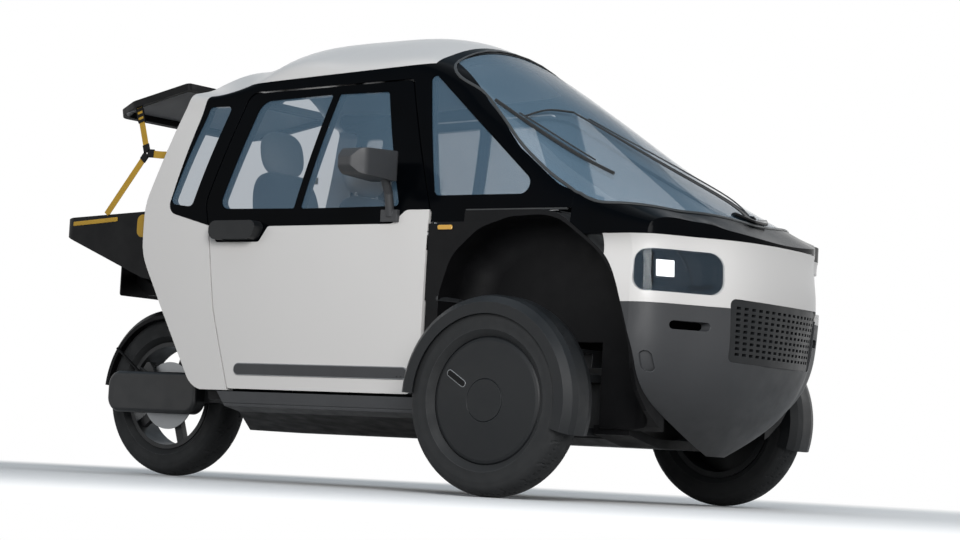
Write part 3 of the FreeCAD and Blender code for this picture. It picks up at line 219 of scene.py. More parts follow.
# Rotomoulded yellow pad of the tail tray.
PAD_YELLOW = surface("tpu_moulded_pad_yellow", "C39A2D", 0.55, other="B88F26", cells=True, grain_mm=3.0,
                     grain_depth=0.15)
# Black display glass and other glossy black mouldings; on the valve and undertray slots it is painted shade, a
# black plate for the dark inside the opening.
GLOSS_BLACK_AND_SLOT_SHADE = surface("abs_moulded_gloss_black_and_painted_slot_shade", "060708", 0.14, grain_mm=5.0, grain_depth=0.01,
                Specular_IOR_Level=0.14)
# Paper-white reflective sheet of the blank number board.
BOARD = surface("aluminium_sheet_reflective_white", "C9CACA", 0.35, other="C2C3C3", cells=True, grain_mm=3.2,
                grain_depth=0.02)
# Polyethylene battery case, blow moulded.
CASE = surface("polyethylene_blow_moulded_dark_grey", "26282B", 0.55, other="202225", cells=True,
               grain_mm=2.4, grain_depth=0.12, edge_wear_and_highlight="3C3F43")
# Woven polyester seat fabric: threads of 0.5 mm are drawn at 2.2 mm, or they wouldn't show.
FABRIC = cloth("polyester_fabric_woven_grey", "4A525A", "39414A", 2.2, 0.25)
# Knitted headrest fabric, pale.
PALE_FABRIC = cloth("polyester_fabric_knitted_pale", "C4C5C4", "A9ABAB", 2.4, 0.2, turn=0.5)
# Woven polyester webbing: ribs of 1 mm drawn at 2 mm.
WEBBING = cloth("polyester_webbing_woven_yellow", "CFA535", "A67D1C", 2.0, 0.3, roughness=0.7, ribs=True)
# Tempered side glass, floated and body-tinted: blue-grey film, clear enough to see the seats.
SIDE_GLASS = glass("float_glass_tempered_tinted", "46627A", 0.40, other="5F8096")
# Laminated windscreen: the same tint, a little clearer.
SCREEN_GLASS = glass("float_glass_laminated_tinted", "5E7C92", 0.44, other="7F9BB0")
# Clear polycarbonate lamp lens with a hard coat.
LENS = glass("polycarbonate_hard_coated_clear", "3C5162", 0.13, roughness=0.04, ior=1.58, other="5C7386")


def steel_disc():
    """Rolled stainless steel, turned: fine rings round the axle catch the light."""
    made, tree, shader, place = blank("stainless_steel_turned")
    shader.inputs["Metallic"].default_value = 1.0
    shader.inputs["Anisotropic"].default_value = 0.5
    shader.inputs["Base Color"].default_value = linear("8B8D8F")
    moved = add(tree, "VectorMath", {0: place, 1: tuple(at(0, WHEELBASE, AXLE_HEIGHT))}, operation="SUBTRACT")
    radius = add(tree, "VectorMath", {0: moved.outputs[0]}, operation="LENGTH")
    rings = add(tree, "TexNoise", {"W": radius.outputs["Value"], "Scale": 1 / (0.9 * MM), "Detail": 3.0},
                noise_dimensions="1D")
    gloss = add(tree, "MapRange", {"Value": rings.outputs[0], "From Min": 0.3, "From Max": 0.7,
                                   "To Min": 0.28, "To Max": 0.5})
    bump = add(tree, "Bump", {"Height": rings.outputs[0], "Distance": 0.04 * MM})
    tree.links.new(gloss.outputs[0], shader.inputs["Roughness"])
    tree.links.new(bump.outputs[0], shader.inputs["Normal"])
    return made


STEEL = steel_disc()

NODE_FINISH = {
    "roof_shell": WHITE, "nose_band": WHITE, "door_right_panel": WHITE, "door_left_panel": WHITE,
    "cab_frame": BLACK, "cowl": BLACK, "door_right_frame": BLACK, "door_left_frame": BLACK,
    "side_windows": SIDE_GLASS, "door_right_glass": SIDE_GLASS, "door_left_glass": SIDE_GLASS,
    "windscreen": SCREEN_GLASS, "bumper": CHARCOAL, "grille": COVER, "side_skirts": CHARCOAL,
    "mudguard_front_right": COVER, "mudguard_front_left": COVER, "mirror_right": CHARCOAL,
    "mirror_left": CHARCOAL, "arch_liners": PLASTIC, "floor_pan": PLASTIC, "rear_bulkhead": PLASTIC,
    "plate_holder": PLASTIC, "mudguard_rear": PLASTIC, "rear_flap": PLASTIC, "tail_tray": PLASTIC,
    "dashboard": PLASTIC, "headlamps": LENS, "swinging_arm": FRAME_PAINT, "wishbones": FRAME_PAINT,
    "front_crossbox": FRAME_PAINT, "knuckle_right": FRAME_PAINT, "knuckle_left": FRAME_PAINT,
    "steering_bar": FRAME_PAINT, "rim_front_right": COVER, "rim_front_left": COVER, "rim_rear": ALLOY,
    "brake_disc": STEEL, "battery": CASE, "straps": WEBBING, "coil_springs": YELLOW_PAINT,
    "seats": FABRIC, "tyre_front_right": RUBBER, "tyre_front_left": RUBBER, "tyre_rear": RUBBER,
}
for node_name, finish in NODE_FINISH.items():
    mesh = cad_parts[node_name].data
    mesh.materials.clear()
    mesh.materials.append(finish)
    for polygon in mesh.polygons:
        polygon.material_index = 0


def finish_faces(node_name, finish, chosen):
    """Gives another finish to the faces of a CAD node whose middle, in millimetres, is chosen."""
    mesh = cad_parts[node_name].data
    mesh.materials.append(finish)
    slot = len(mesh.materials) - 1
    for polygon in mesh.polygons:
        c = polygon.center / MM
        if chosen(c.x, c.y - FRONT_AXLE_Y, c.z, polygon.normal):
            polygon.material_index = slot


for side_name in ("right", "left"):
    finish_faces("door_%s_frame" % side_name, COVER,
                 lambda x, s, z, n: abs(x) > 537 and 1140 < s < 1400 and z < 920)


# ---- mesh helpers ----

def piece(name, points, faces, finish, body, angle=32, stands_for=()):
    """A closed mesh piece in the row frame that rides on one CAD body."""
    mesh = bpy.data.meshes.new(name)
    mesh.from_pydata([tuple(p) for p in points], [], faces)
    shape = bmesh.new()
    shape.from_mesh(mesh)
    bmesh.ops.remove_doubles(shape, verts=shape.verts, dist=1e-6)
    bmesh.ops.recalc_face_normals(shape, faces=shape.faces)
    shape.to_mesh(mesh)
    shape.free()
    mesh.shade_smooth()
    mesh.set_sharp_from_angle(angle=math.radians(angle))
    mesh.materials.append(finish)
    made = bpy.data.objects.new(name, mesh)
    bpy.context.scene.collection.objects.link(made)
    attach(made, body)
    if stands_for:
        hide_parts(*stands_for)
    return made


def tree_of(names):
    """Search tree over the CAD nodes that a piece lies on."""
    points, faces = [], []
    for name in names:
        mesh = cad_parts[name].data
        start = len(points)
        points += [v.co.copy() for v in mesh.vertices]
        faces += [[start + i for i in p.vertices] for p in mesh.polygons]
    return BVHTree.FromPolygons(points, faces)


def smooth_path(points, steps=8, closed=False):
    """Catmull-Rom curve through the points."""
    points = [Vector(p) for p in points]
    count = len(points)
    out = []
    for i in range(count if closed else count - 1):
        p = [points[(i + k) % count] if closed else points[min(max(i + k, 0), count - 1)]
             for k in (-1, 0, 1, 2)]
        for j in range(steps):
            t = j / steps
            out.append(0.5 * ((2 * p[1]) + (p[2] - p[0]) * t + (2 * p[0] - 5 * p[1] + 4 * p[2] - p[3]) * t * t
                              + (3 * p[1] - p[0] - 3 * p[2] + p[3]) * t ** 3))
    return out if closed else out + [points[-1]]


def swept(points, section, closed=False, up=None, scales=None):
    """Points and faces of a section carried along a path; up keeps its second axis upright."""
    count, sides = len(points), len(section)
    verts, faces = [], []
    side = None
    for i, p in enumerate(points):
        ahead = points[(i + 1) % count] if closed or i < count - 1 else p
        behind = points[i - 1] if closed or i else p
        along = (ahead - behind).normalized()
        if up is not None:
            side = along.cross(up).normalized()
        elif side is None:
            side = along.cross(Vector((0.3, 0.2, 1))).normalized()
        else:
            side = (side - along * side.dot(along)).normalized()
        rise = side.cross(along)
        k = scales[i] if scales else 1.0
        verts += [p + (side * a + rise * b) * k * MM for a, b in section]
    for i in range(count if closed else count - 1):
        a, b = i * sides, ((i + 1) % count) * sides
        faces += [(a + j, a + (j + 1) % sides, b + (j + 1) % sides, b + j) for j in range(sides)]
    if not closed:
        faces += [tuple(range(sides))[::-1], tuple((count - 1) * sides + j for j in range(sides))]
    return verts, faces


def circle(radius, sides=12, flat=1.0):
    """Section of a round rod, flattened where flat is under 1."""
    return [(radius * math.cos(a), radius * flat * math.sin(a))
            for a in (2 * math.pi * i / sides for i in range(sides))]


def slab(width, thick, corner=0.6):
    """Section of a strap: a flat bar with small rounded corners."""
    w, t, c = width / 2, thick / 2, corner
    return [(-w, -t + c), (-w + c, -t), (w - c, -t), (w, -t + c),
            (w, t - c), (w - c, t), (-w + c, t), (-w, t - c)]


def turned(profile, centre, axis, sides=48):
    """Points and faces of a profile of (radius, offset) turned about an axis; its ends are closed."""
    axis = Vector(axis).normalized()
    side = axis.orthogonal().normalized()
    rise = axis.cross(side)
    verts, faces = [], []
    for i in range(sides):
        a = 2 * math.pi * i / sides
        out = side * math.cos(a) + rise * math.sin(a)
        verts += [centre + (out * r + axis * h) * MM for r, h in profile]
    n = len(profile)
    for i in range(sides):
        j = (i + 1) % sides
        faces += [(i * n + k, i * n + k + 1, j * n + k + 1, j * n + k) for k in range(n - 1)]
        faces.append((i * n + n - 1, i * n, j * n, j * n + n - 1))
    return verts, faces


def joined(*shapes):
    """Several lists of points and faces as one."""
    verts, faces = [], []
    for v, f in shapes:
        start = len(verts)
        verts += list(v)
        faces += [tuple(start + i for i in face) for face in f]
    return verts, faces


def patch(lies_on, centre, u_axis, v_axis, half_u, half_v, corner, thick, steps=(28, 8), sink=0.8, turn=0,
          bevel=0.8):
    """A raised plate with a rounded outline that follows the CAD surface under it.

    The outline lies in the plane of u_axis and v_axis, and is thrown onto the surface against their
    cross product. Its rim starts below the surface, so nothing shows under it."""
    u_axis, v_axis = Vector(u_axis).normalized(), Vector(v_axis).normalized()
    out = u_axis.cross(v_axis).normalized()
    c, s = math.cos(math.radians(turn)), math.sin(math.radians(turn))
    u_axis, v_axis = u_axis * c + v_axis * s, v_axis * c - u_axis * s
    tree = lies_on if isinstance(lies_on, BVHTree) else tree_of(lies_on)
    edge_u, edge_v = bevel / half_u, bevel / half_v
    us = [-1, -1] + [(-1 + edge_u) + (2 - 2 * edge_u) * (0.5 - 0.5 * math.cos(math.pi * i / steps[0]))
                     for i in range(steps[0] + 1)] + [1, 1]
    vs = [-1, -1] + [(-1 + edge_v) + (2 - 2 * edge_v) * i / steps[1] for i in range(steps[1] + 1)] + [1, 1]
    grid = np.zeros((len(us), len(vs), 3))
    for i, u in enumerate(us):
        past = max(0.0, abs(u) * half_u - (half_u - corner))
        tall = half_v - (corner - math.sqrt(max(corner * corner - past * past, 0.0)))
        for j, v in enumerate(vs):
            p = centre + (u_axis * u * half_u + v_axis * v * max(tall, 0.05 * corner)) * MM
            hit = tree.ray_cast(p + out * 0.25, -out, 0.6)[0]
            grid[i, j] = hit if hit is not None else np.nan
    if np.isnan(grid).any():
        known = ~np.isnan(grid[..., 0])
        depth = (grid[known] @ np.array(out)).mean()
        for i, j in zip(*np.where(~known)):
            u, v = us[i], vs[j]
            p = np.array(centre + (u_axis * u * half_u + v_axis * v * half_v) * MM)
            grid[i, j] = p + np.array(out) * (depth - p @ np.array(out))
    du = np.gradient(grid, axis=0)
    dv = np.gradient(grid, axis=1)
    normal = np.cross(du, dv)
    length = np.linalg.norm(normal, axis=2, keepdims=True)
    normal = np.where(length > 1e-12, normal / np.maximum(length, 1e-12), np.array(out))
    normal[(normal @ np.array(out)) < 0.3] = np.array(out)

    def lift(k, n):
        k = min(k, n - 1 - k)
        return -sink if k == 0 else thick * 0.72 if k == 1 else thick

    n, m = grid.shape[:2]
    rise = np.array([[min(lift(i, n), lift(j, m)) for j in range(m)] for i in range(n)])
    top = grid + normal * rise[..., None] * MM
    low = grid - normal * sink * MM
    verts = [tuple(p) for p in top.reshape(-1, 3)]
    index = {}
    for i in range(n):
        for j in range(m):
            rim = i in (0, n - 1) or j in (0, m - 1)
            index[i, j] = i * m + j if rim else len(verts)
            if not rim:
                verts.append(tuple(low[i, j]))
    faces = []
    for i in range(n - 1):
        for j in range(m - 1):
            faces.append((i * m + j, (i + 1) * m + j, (i + 1) * m + j + 1, i * m + j + 1))
            faces.append((index[i, j], index[i, j + 1], index[i + 1, j + 1], index[i + 1, j]))
    return verts, faces


X, Y, Z = Vector((1, 0, 0)), Vector((0, 1, 0)), Vector((0, 0, 1))
SIDES = (("right", -1), ("left", 1))


# ---- tyres ----

def treaded_tyre(name, x, station, width, node_name, body, repeats, hand):
    """Tyre with curved grooves that sweep from the crown to the shoulders, and rings on its sides."""
    around = 800
    bead, outer_r = 204, 305
    half = width / 2
    outline = [(bead, half * 0.68), (bead + 10, half * 0.86), (bead + 20, half * 0.95),
               (bead + 22, half * 0.975), (bead + 26, half * 0.975), (bead + 28, half * 0.965),
               (bead + 42, half * 0.995), (bead + 53, half), (bead + 56, half),
               (bead + 60, half * 0.985), (bead + 64, half * 0.975)]
    crown = []
    for i in range(31):
        a = math.radians(90) * (1 - i / 15) if i <= 15 else -math.radians(90) * (i / 15 - 1)
        crown.append((bead + 64 + (outer_r - bead - 64) * math.cos(a) ** 0.9 if abs(a) < 1.5707 else bead + 64,
                      half * 0.975 * math.sin(a)))
    crown = crown[1:-1]
    inner = [(bead + 3, -half * 0.55), (bead + 22, -half * 0.86), (bead + 60, -half * 0.9),
             (outer_r - 24, -half * 0.6), (outer_r - 12, 0), (outer_r - 24, half * 0.6),
             (bead + 60, half * 0.9), (bead + 22, half * 0.86), (bead + 3, half * 0.55)]
    loop = outline + crown + [(r, -h) for r, h in reversed(outline)] + inner
    first, last = len(outline), len(outline) + len(crown)
    radii = np.array([p[0] for p in loop], float)
    offsets = np.array([p[1] for p in loop], float)
    angle = np.linspace(0, 2 * math.pi, around, endpoint=False)[:, None]
    across = np.zeros(len(loop))
    across[first:last] = offsets[first:last] / half
    on_tread = np.zeros(len(loop))
    on_tread[first:last] = 1
    depth = np.zeros((around, len(loop)))
    pitch = 2 * math.pi / repeats
    for side in (-1, 1):
        v = across * side
        for low, high, lead, bend, shift, wide, deep in ((0.10, 0.80, 0.55, 0.95, 0.0, 3.2, 5.0),
                                                        (0.52, 0.93, -0.35, 0.5, 0.52, 2.6, 4.0)):
            t = (v - low) / (high - low)
            inside = ((t > 0) & (t < 1) & (on_tread > 0)).astype(float)
            centre = pitch * (shift + (0.5 if side > 0 else 0.0) + lead * t + bend * t * t)
            away = (angle * hand - centre[None, :] + pitch / 2) % pitch - pitch / 2
            taper = np.clip(np.minimum(t, 1 - t) * 6, 0, 1)
            near = np.clip(1.4 - np.abs(away) * outer_r / (wide * np.maximum(taper, 0.2)), 0, 1)
            depth = np.maximum(depth, near * inside * deep * taper)
    radius = radii[None, :] - depth
    centre = at(x, station, AXLE_HEIGHT)
    ys = np.cos(angle) * radius * MM + centre.y
    zs = np.sin(angle) * radius * MM + centre.z
    xs = np.broadcast_to(offsets[None, :] * MM + centre.x, ys.shape)
    verts = np.stack([xs, ys, zs], axis=2).reshape(-1, 3)
    n = len(loop)
    i = np.arange(around)[:, None]
    j = np.arange(n)[None, :]
    a, b = i * n + j, i * n + (j + 1) % n
    c, d = ((i + 1) % around) * n + (j + 1) % n, ((i + 1) % around) * n + j
    faces = np.stack([a, b, c, d], axis=2).reshape(-1, 4).tolist()
    piece(name, verts.tolist(), faces, RUBBER, body, angle=38, stands_for=(node_name,))


treaded_tyre("tread_front_right", -TRACK / 2, 0, 129.4, "tyre_front_right", "wheel_front_right", 22, 1)
treaded_tyre("tread_front_left", TRACK / 2, 0, 129.4, "tyre_front_left", "wheel_front_left", 22, 1)
treaded_tyre("tread_rear", 0, WHEELBASE, 147.4, "tyre_rear", "wheel_rear", 20, 1)


# ---- front wheel covers ----

SLOT_BACK, SLOT_UP = 116, 67     # the slot's middle, behind and above the axle

for side, sign in SIDES:
    rim = tree_of(["rim_front_" + side])
    spot = at(sign * TRACK / 2, SLOT_BACK, AXLE_HEIGHT + SLOT_UP)
    reach = Vector((0, SLOT_BACK, SLOT_UP)).normalized()
    across_slot = (reach if sign < 0 else -reach)
    up_slot = Vector((0, -reach.z, reach.y)) * -1
    if across_slot.cross(up_slot).x * sign < 0:
        up_slot = -up_slot
    body = "wheel_front_" + side
    verts, faces = patch(rim, spot, across_slot, up_slot, 44, 12, 11.9, 0.9, (30, 6), bevel=0.6)
    piece("valve_slot_edge_" + side, verts, faces, EDGING, body)
    # The slot itself is a gloss black plate laid on the cover: painted shade for the dark inside the opening.
    verts, faces = patch(rim, spot, across_slot, up_slot, 41.4, 9.4, 9.3, 1.3, (30, 6), bevel=0.5)
    piece("valve_slot_" + side, verts, faces, GLOSS_BLACK_AND_SLOT_SHADE, body)


# ---- doors and sides ----

for side, sign in SIDES:
    panel = tree_of(["door_%s_panel" % side])
    along = Y if sign > 0 else -Y
    spot = at(sign * 540, 880, 393.5)
    verts, faces = patch(panel, spot, along, Z, 383, 21.5, 21.4, 3.4, (60, 6))
    piece("door_moulding_edge_" + side, verts, faces, EDGING, "door_" + side)
    verts, faces = patch(panel, spot, along, Z, 380, 18.5, 18.4, 5.0, (60, 6))
    piece("door_moulding_" + side, verts, faces, CHARCOAL, "door_" + side)
    dots = [patch(panel, at(sign * 540, s, 381.5), along, Z, 2.2, 2.2, 2.1, 5.7, (6, 4), bevel=0.4)
            for s in (522, 538)]
    verts, faces = joined(*dots)
    piece("moulding_screws_" + side, verts, faces, GLOSS_BLACK_AND_SLOT_SHADE, "door_" + side)
    arch = tree_of(["arch_liners"])
    spot = at(sign * 540, 373, 884)
    verts, faces = patch(arch, spot, along, Z, 33, 10.5, 8, 1.6, (16, 5))
    piece("marker_seat_" + side, verts, faces, PLASTIC, "body")
    verts, faces = patch(arch, spot, along, Z, 30.5, 8, 6, 4.0, (16, 5), bevel=1.2)
    piece("side_marker_" + side, verts, faces, AMBER, "body")
    verts, faces = patch(arch, at(sign * 540, 388, 646), along, Z, 8, 8, 7.9, 2.0, (10, 8))
    piece("arch_screw_" + side, verts, faces, FRAME_PAINT, "body")
    skirt = tree_of(["side_skirts"])
    # The slots are thin gloss black plates laid on the skirt: painted shade for the dark inside the openings.
    slots = [patch(skirt, at(sign * 484, s, 150), Y * sign, Vector((-sign, 0, 0)), 15, 4, 3.9, 0.5,
                   (12, 4), turn=38 * sign, bevel=0.5)
             for s in (560, 728, 985, 1225)]
    verts, faces = joined(*slots)
    piece("undertray_slots_" + side, verts, faces, GLOSS_BLACK_AND_SLOT_SHADE, "body")


# ---- seals between the cab frame, the door and the wheel arch ----

frame_tree = tree_of(["cab_frame"])
for side, sign in SIDES:
    line = []
    for s in range(300, -130, -20):
        hit = frame_tree.ray_cast(at(sign * 900, s, 955), Vector((-sign, 0, 0)))[0]
        if hit is not None:
            line.append(Vector((hit.x - sign * 0.006, hit.y, 0.943)))
    verts, faces = swept(line, circle(5.2, 10))
    piece("arch_seal_" + side, verts, faces, GASKET, "body")
    # The corner behind the arch's rounded edge, up to the door's shut line.
    corner = [(320, 898), (446, 898), (446, 640), (430, 640), (424, 770), (400, 826), (352, 866)]
    plate = [at(sign * x, s, z) for x in (530, 527) for s, z in corner]
    n = len(corner)
    faces = [tuple(range(n)), tuple(range(2 * n - 1, n - 1, -1))]
    faces += [(i, (i + 1) % n, n + (i + 1) % n, n + i) for i in range(n)]
    piece("arch_corner_" + side, plate, faces, PLASTIC, "body")


# ---- mirrors ----

for side, sign in SIDES:
    housing = tree_of(["mirror_" + side])
    verts, faces = patch(housing, at(sign * 662, 655, 1088), X * -1, Z, 84, 35, 18, 1.5, (20, 8))
    piece("mirror_glass_" + side, verts, faces, SILVERED, "door_" + side)


# ---- windscreen gasket and wiper ----

SCREEN = [(-364, 488), (364, 488), (440, 290), (482, 120), (505, -60), (505, -270), (330, -452),
          (0, -528), (-330, -452), (-505, -270), (-505, -60), (-482, 120), (-440, 290)]
front_skin = tree_of(["windscreen", "cab_frame", "cowl", "nose_band", "roof_shell"])


def above(x, station, lift):
    """Point over the vehicle's upper skin at that place, lifted from it in millimetres."""
    hit, normal = front_skin.ray_cast(at(x, station, 2200), -Z)[:2]
    if hit is None:
        hit, normal = front_skin.find_nearest(at(x, station, 960))[:2]
    if normal.z < 0:
        normal = -normal
    return hit + normal * lift * MM


def ring_point(x, station, grow):
    """A point of the windscreen's outline pushed out from the glass's middle."""
    out = Vector((x, station - 60, 0)).normalized()
    return x + out.x * grow, station + out.y * grow


outline = smooth_path([Vector((x, s, 0)) for x, s in SCREEN], 10, closed=True)
gasket_line = []
for p in outline:
    x, s = ring_point(p.x * 0.992, p.y, -6)
    gasket_line.append(above(x, s, 1.2))
verts, faces = swept(gasket_line, circle(5.5, 8, 0.6), closed=True)
piece("windscreen_gasket", verts, faces, GASKET, "body")

arm_line = smooth_path([above(-40, -500, 12), above(-70, -420, 26), above(-130, -200, 26),
                        above(-180, -20, 24), above(-215, 100, 22)], 8)
verts, faces = joined(swept(arm_line, slab(15, 8, 2), up=Z, scales=[1.6 - 0.9 * i / len(arm_line)
                                                                     for i in range(len(arm_line))]),
                      swept(smooth_path([above(-20, -480, 16), above(-40, -400, 32), above(-100, -200, 32),
                                         above(-160, -40, 28), above(-190, 60, 24)], 8), circle(2.6, 8)))
piece("wiper_arm", verts, faces, FRAME_PAINT, "body")
verts, faces = joined(turned([(0, -8), (17, -8), (19, -4), (19, 14), (14, 20), (0, 20)],
                             above(-30, -500, 2), Z, 28),
                      swept([above(-95, -470, 6), above(-40, -508, 8), above(40, -505, 8), above(80, -480, 6)],
                            slab(34, 12, 3), up=Z))
piece("wiper_hub", verts, faces, GLOSS_BLACK_AND_SLOT_SHADE, "body")
blade = smooth_path([above(-425, 275, 9), above(-400, 120, 9), above(-375, -30, 9),
                     above(-352, -165, 9)], 10)
spine = smooth_path([above(-405, 190, 16), above(-385, 90, 20), above(-370, 0, 20),
                     above(-355, -90, 16)], 8)
bridge = smooth_path([above(-396, 170, 17), above(-300, 150, 20), above(-215, 104, 22)], 8)
verts, faces = joined(swept(blade, slab(7, 11, 1.6), up=Z), swept(spine, slab(9, 5, 1.2), up=Z),
                      swept(bridge, slab(11, 6, 1.5), up=Z))
piece("wiper_blade", verts, faces, RUBBER, "body")


# ---- headlamps ----

def solids_in(node_name):
    """The separate solids of a CAD node, each as the numbers of its faces and its points in millimetres."""
    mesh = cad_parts[node_name].data
    keys, owner, group = {}, [], {}
    for v in mesh.vertices:
        key = tuple(round(c / MM, 2) for c in v.co)
        owner.append(keys.setdefault(key, len(keys)))
    parent = list(range(len(keys)))

    def top(k):
        while parent[k] != k:
            parent[k] = parent[parent[k]]
            k = parent[k]
        return k

    for polygon in mesh.polygons:
        first = top(owner[polygon.vertices[0]])
        for v in polygon.vertices[1:]:
            parent[top(owner[v])] = first
    for polygon in mesh.polygons:
        group.setdefault(top(owner[polygon.vertices[0]]), []).append(polygon.index)
    return [(faces, [mesh.vertices[v].co / MM for f in faces for v in mesh.polygons[f].vertices])
            for faces in group.values()]


# Each lamp has two solids: the lens is the one that reaches further forwards, the other is the tub.
lamp_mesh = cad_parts["headlamps"].data
lamp_mesh.materials.append(GLOSS_BLACK_AND_SLOT_SHADE)
for sign in (-1, 1):
    parts = [part for part in solids_in("headlamps") if part[1][0].x * sign > 0]
    lens_front = min(min(p.y for p in points) for faces, points in parts)
    for faces, points in parts:
        if min(p.y for p in points) > lens_front + 1:
            for f in faces:
                lamp_mesh.polygons[f].material_index = 1

tub = tree_of(["headlamps"])


def lamp_depth(x, z, deep):
    """Point behind the lens at that place, that many millimetres below the nose."""
    hit = tub.ray_cast(at(x, -900, z), Y)[0]
    return hit + Y * deep * MM


for side, sign in SIDES:
    # The square light sits on its own face: a thin glowing plate.
    face = [at(sign * x, 0, z) for x, z in ((500, 726), (444, 726), (444, 778), (500, 778))]
    plate = []
    for corner in face:
        hit = tub.ray_cast(Vector((corner.x, -2.0, corner.z)), Y)[0]
        plate.append(hit + Y * 0.017)
    back = [p + Y * 0.012 for p in plate]
    faces = [(0, 1, 2, 3), (4, 5, 6, 7), (0, 1, 5, 4), (1, 2, 6, 5), (2, 3, 7, 6), (3, 0, 4, 7)]
    piece("square_light_" + side, plate + back, faces, LIGHT, "body")
    fin = [lamp_depth(sign * x, z, 12)
           for x, z in ((438, 806), (420, 784), (404, 752), (396, 716), (392, 690))]
    verts, faces = swept(smooth_path(fin, 8), slab(9, 14, 2), up=Y)
    piece("lamp_fin_" + side, verts, faces, GLOSS_BLACK_AND_SLOT_SHADE, "body")
    shelf = [lamp_depth(sign * x, z, 14) for x, z in ((402, 694), (370, 696), (330, 706))]
    verts, faces = swept(smooth_path(shelf, 6), slab(16, 22, 2), up=Y)
    piece("lamp_shelf_" + side, verts, faces, GLOSS_BLACK_AND_SLOT_SHADE, "body")
    wall = [lamp_depth(sign * x, z, 34) for x, z in ((478, 700), (480, 750), (478, 800))]
    verts, faces = swept(smooth_path(wall, 6), slab(80, 6, 2), up=Y)
    piece("lamp_wall_" + side, verts, faces, GLOSS_BLACK_AND_SLOT_SHADE, "body")


# ---- springs ----

def spring(name, low, high, core, wire, radius, turns, stands_for=()):
    """Helical spring round its damper, with the flat ends that seat it."""
    a, b = at(*low), at(*high)
    along = (b - a).normalized()
    side = along.orthogonal().normalized()
    rise = along.cross(side)
    length = (b - a).length
    line = []
    steps = int(turns * 22)
    for i in range(steps + 1):
        t = i / steps
        ease = 0.06 + 0.88 * t
        if t < 0.06:
            ease = 0.06 + 0.3 * t
        turn = 2 * math.pi * turns * t
        line.append(a + along * length * ease + (side * math.cos(turn) + rise * math.sin(turn)) * radius * MM)
    verts, faces = swept(line, circle(wire, 10))
    piece(name + "_coil", verts, faces, YELLOW_PAINT, "body", angle=50, stands_for=stands_for)
    total = length / MM
    profile = [(0, 0), (core * 1.45, 0), (core * 1.45, 8), (core, 10), (core, total * 0.5),
               (core * 0.55, total * 0.52), (core * 0.55, total - 12), (core * 1.5, total - 10),
               (core * 1.5, total), (0, total)]
    verts, faces = turned(profile, a, along, 32)
    piece(name + "_damper", verts, faces, FRAME_PAINT, "body", angle=30)


for side, sign in SIDES:
    spring("front_spring_" + side, (sign * 428, 0, 250), (sign * 306, 0, 478), 17, 4.6, 27, 6.5,
           ("coil_springs",) if sign < 0 else ())
spring("rear_spring", (-99.5, 1862, 354), (-99.5, 1624, 613), 10, 3.6, 16, 8)


# ---- rear: straps, tray, flap, board ----

STRAP_X = 404
STRAP_RING = (1862, 1190)
STRAP_TIPS = ((1915, 1362), (1700, 1180), (2050, 964))     # on the flap, the body and the tray

for side, sign in SIDES:
    ring = at(sign * STRAP_X, *STRAP_RING)
    tips = [at(sign * STRAP_X, *tip) for tip in STRAP_TIPS]
    webs, keepers = [], []
    for k, tip in enumerate(tips):
        way = (tip - ring).normalized()
        reach = (tip - ring).length
        line = [ring + way * reach * t + Vector((0, 0, -0.004 if k == 1 else 0)) * math.sin(math.pi * t)
                for t in (0.02, 0.2, 0.4, 0.6, 0.8, 1.0)]
        webs.append(swept(line, slab(27, 2.4, 0.8), up=X))
        keepers.append(swept([ring + way * 0.004, ring + way * 0.034], slab(31, 7, 2), up=X))
    verts, faces = joined(*webs)
    piece("strap_" + side, verts, faces, WEBBING, "body",
          stands_for=("straps",) if sign < 0 else ())
    way = (tips[0] - ring).normalized()
    keepers += [swept([tips[0] - way * a, tips[0] - way * b], slab(32, 7, 2), up=X)
                for a, b in ((0.058, 0.046), (0.036, 0.024), (0.014, 0.002))]
    keepers += [swept([tips[0] - way * 0.058 + Y * c, tips[0] - way * 0.002 + Y * c], slab(4, 7, 1), up=X)
                for c in (-0.0155, 0.0155)]
    verts, faces = joined(*keepers)
    piece("strap_buckles_" + side, verts, faces, PLASTIC, "body")
    tray = tree_of(["tail_tray"])
    along = Y * sign
    verts, faces = patch(tray, at(sign * 430, 1836, 918), along, Z, 46, 42, 26, 2.0, (18, 12), bevel=1.5)
    piece("tray_pad_" + side, verts, faces, PAD_YELLOW, "tray")
    verts, faces = patch(tray, at(sign * 425, 2106, 938), along, Z, 118, 8, 4, 2.2, (30, 4), turn=-3.5 * sign,
                         bevel=1.2)
    piece("tray_strap_" + side, verts, faces, WEBBING, "tray")

flap_tree = tree_of(["rear_flap"])
verts, faces = patch(flap_tree, at(0, 1842, 1300), -X, Y, 392, 172, 40, 2.0, (36, 16), bevel=2.0)
piece("flap_lining", verts, faces, LINING, "flap")
board = tree_of(["plate_holder"])
verts, faces = patch(board, at(0, 2230, 748.5), -X, Z, 122, 58, 8, 1.2, (24, 8))
piece("number_board", verts, faces, BOARD, "body")


# ---- interior ----

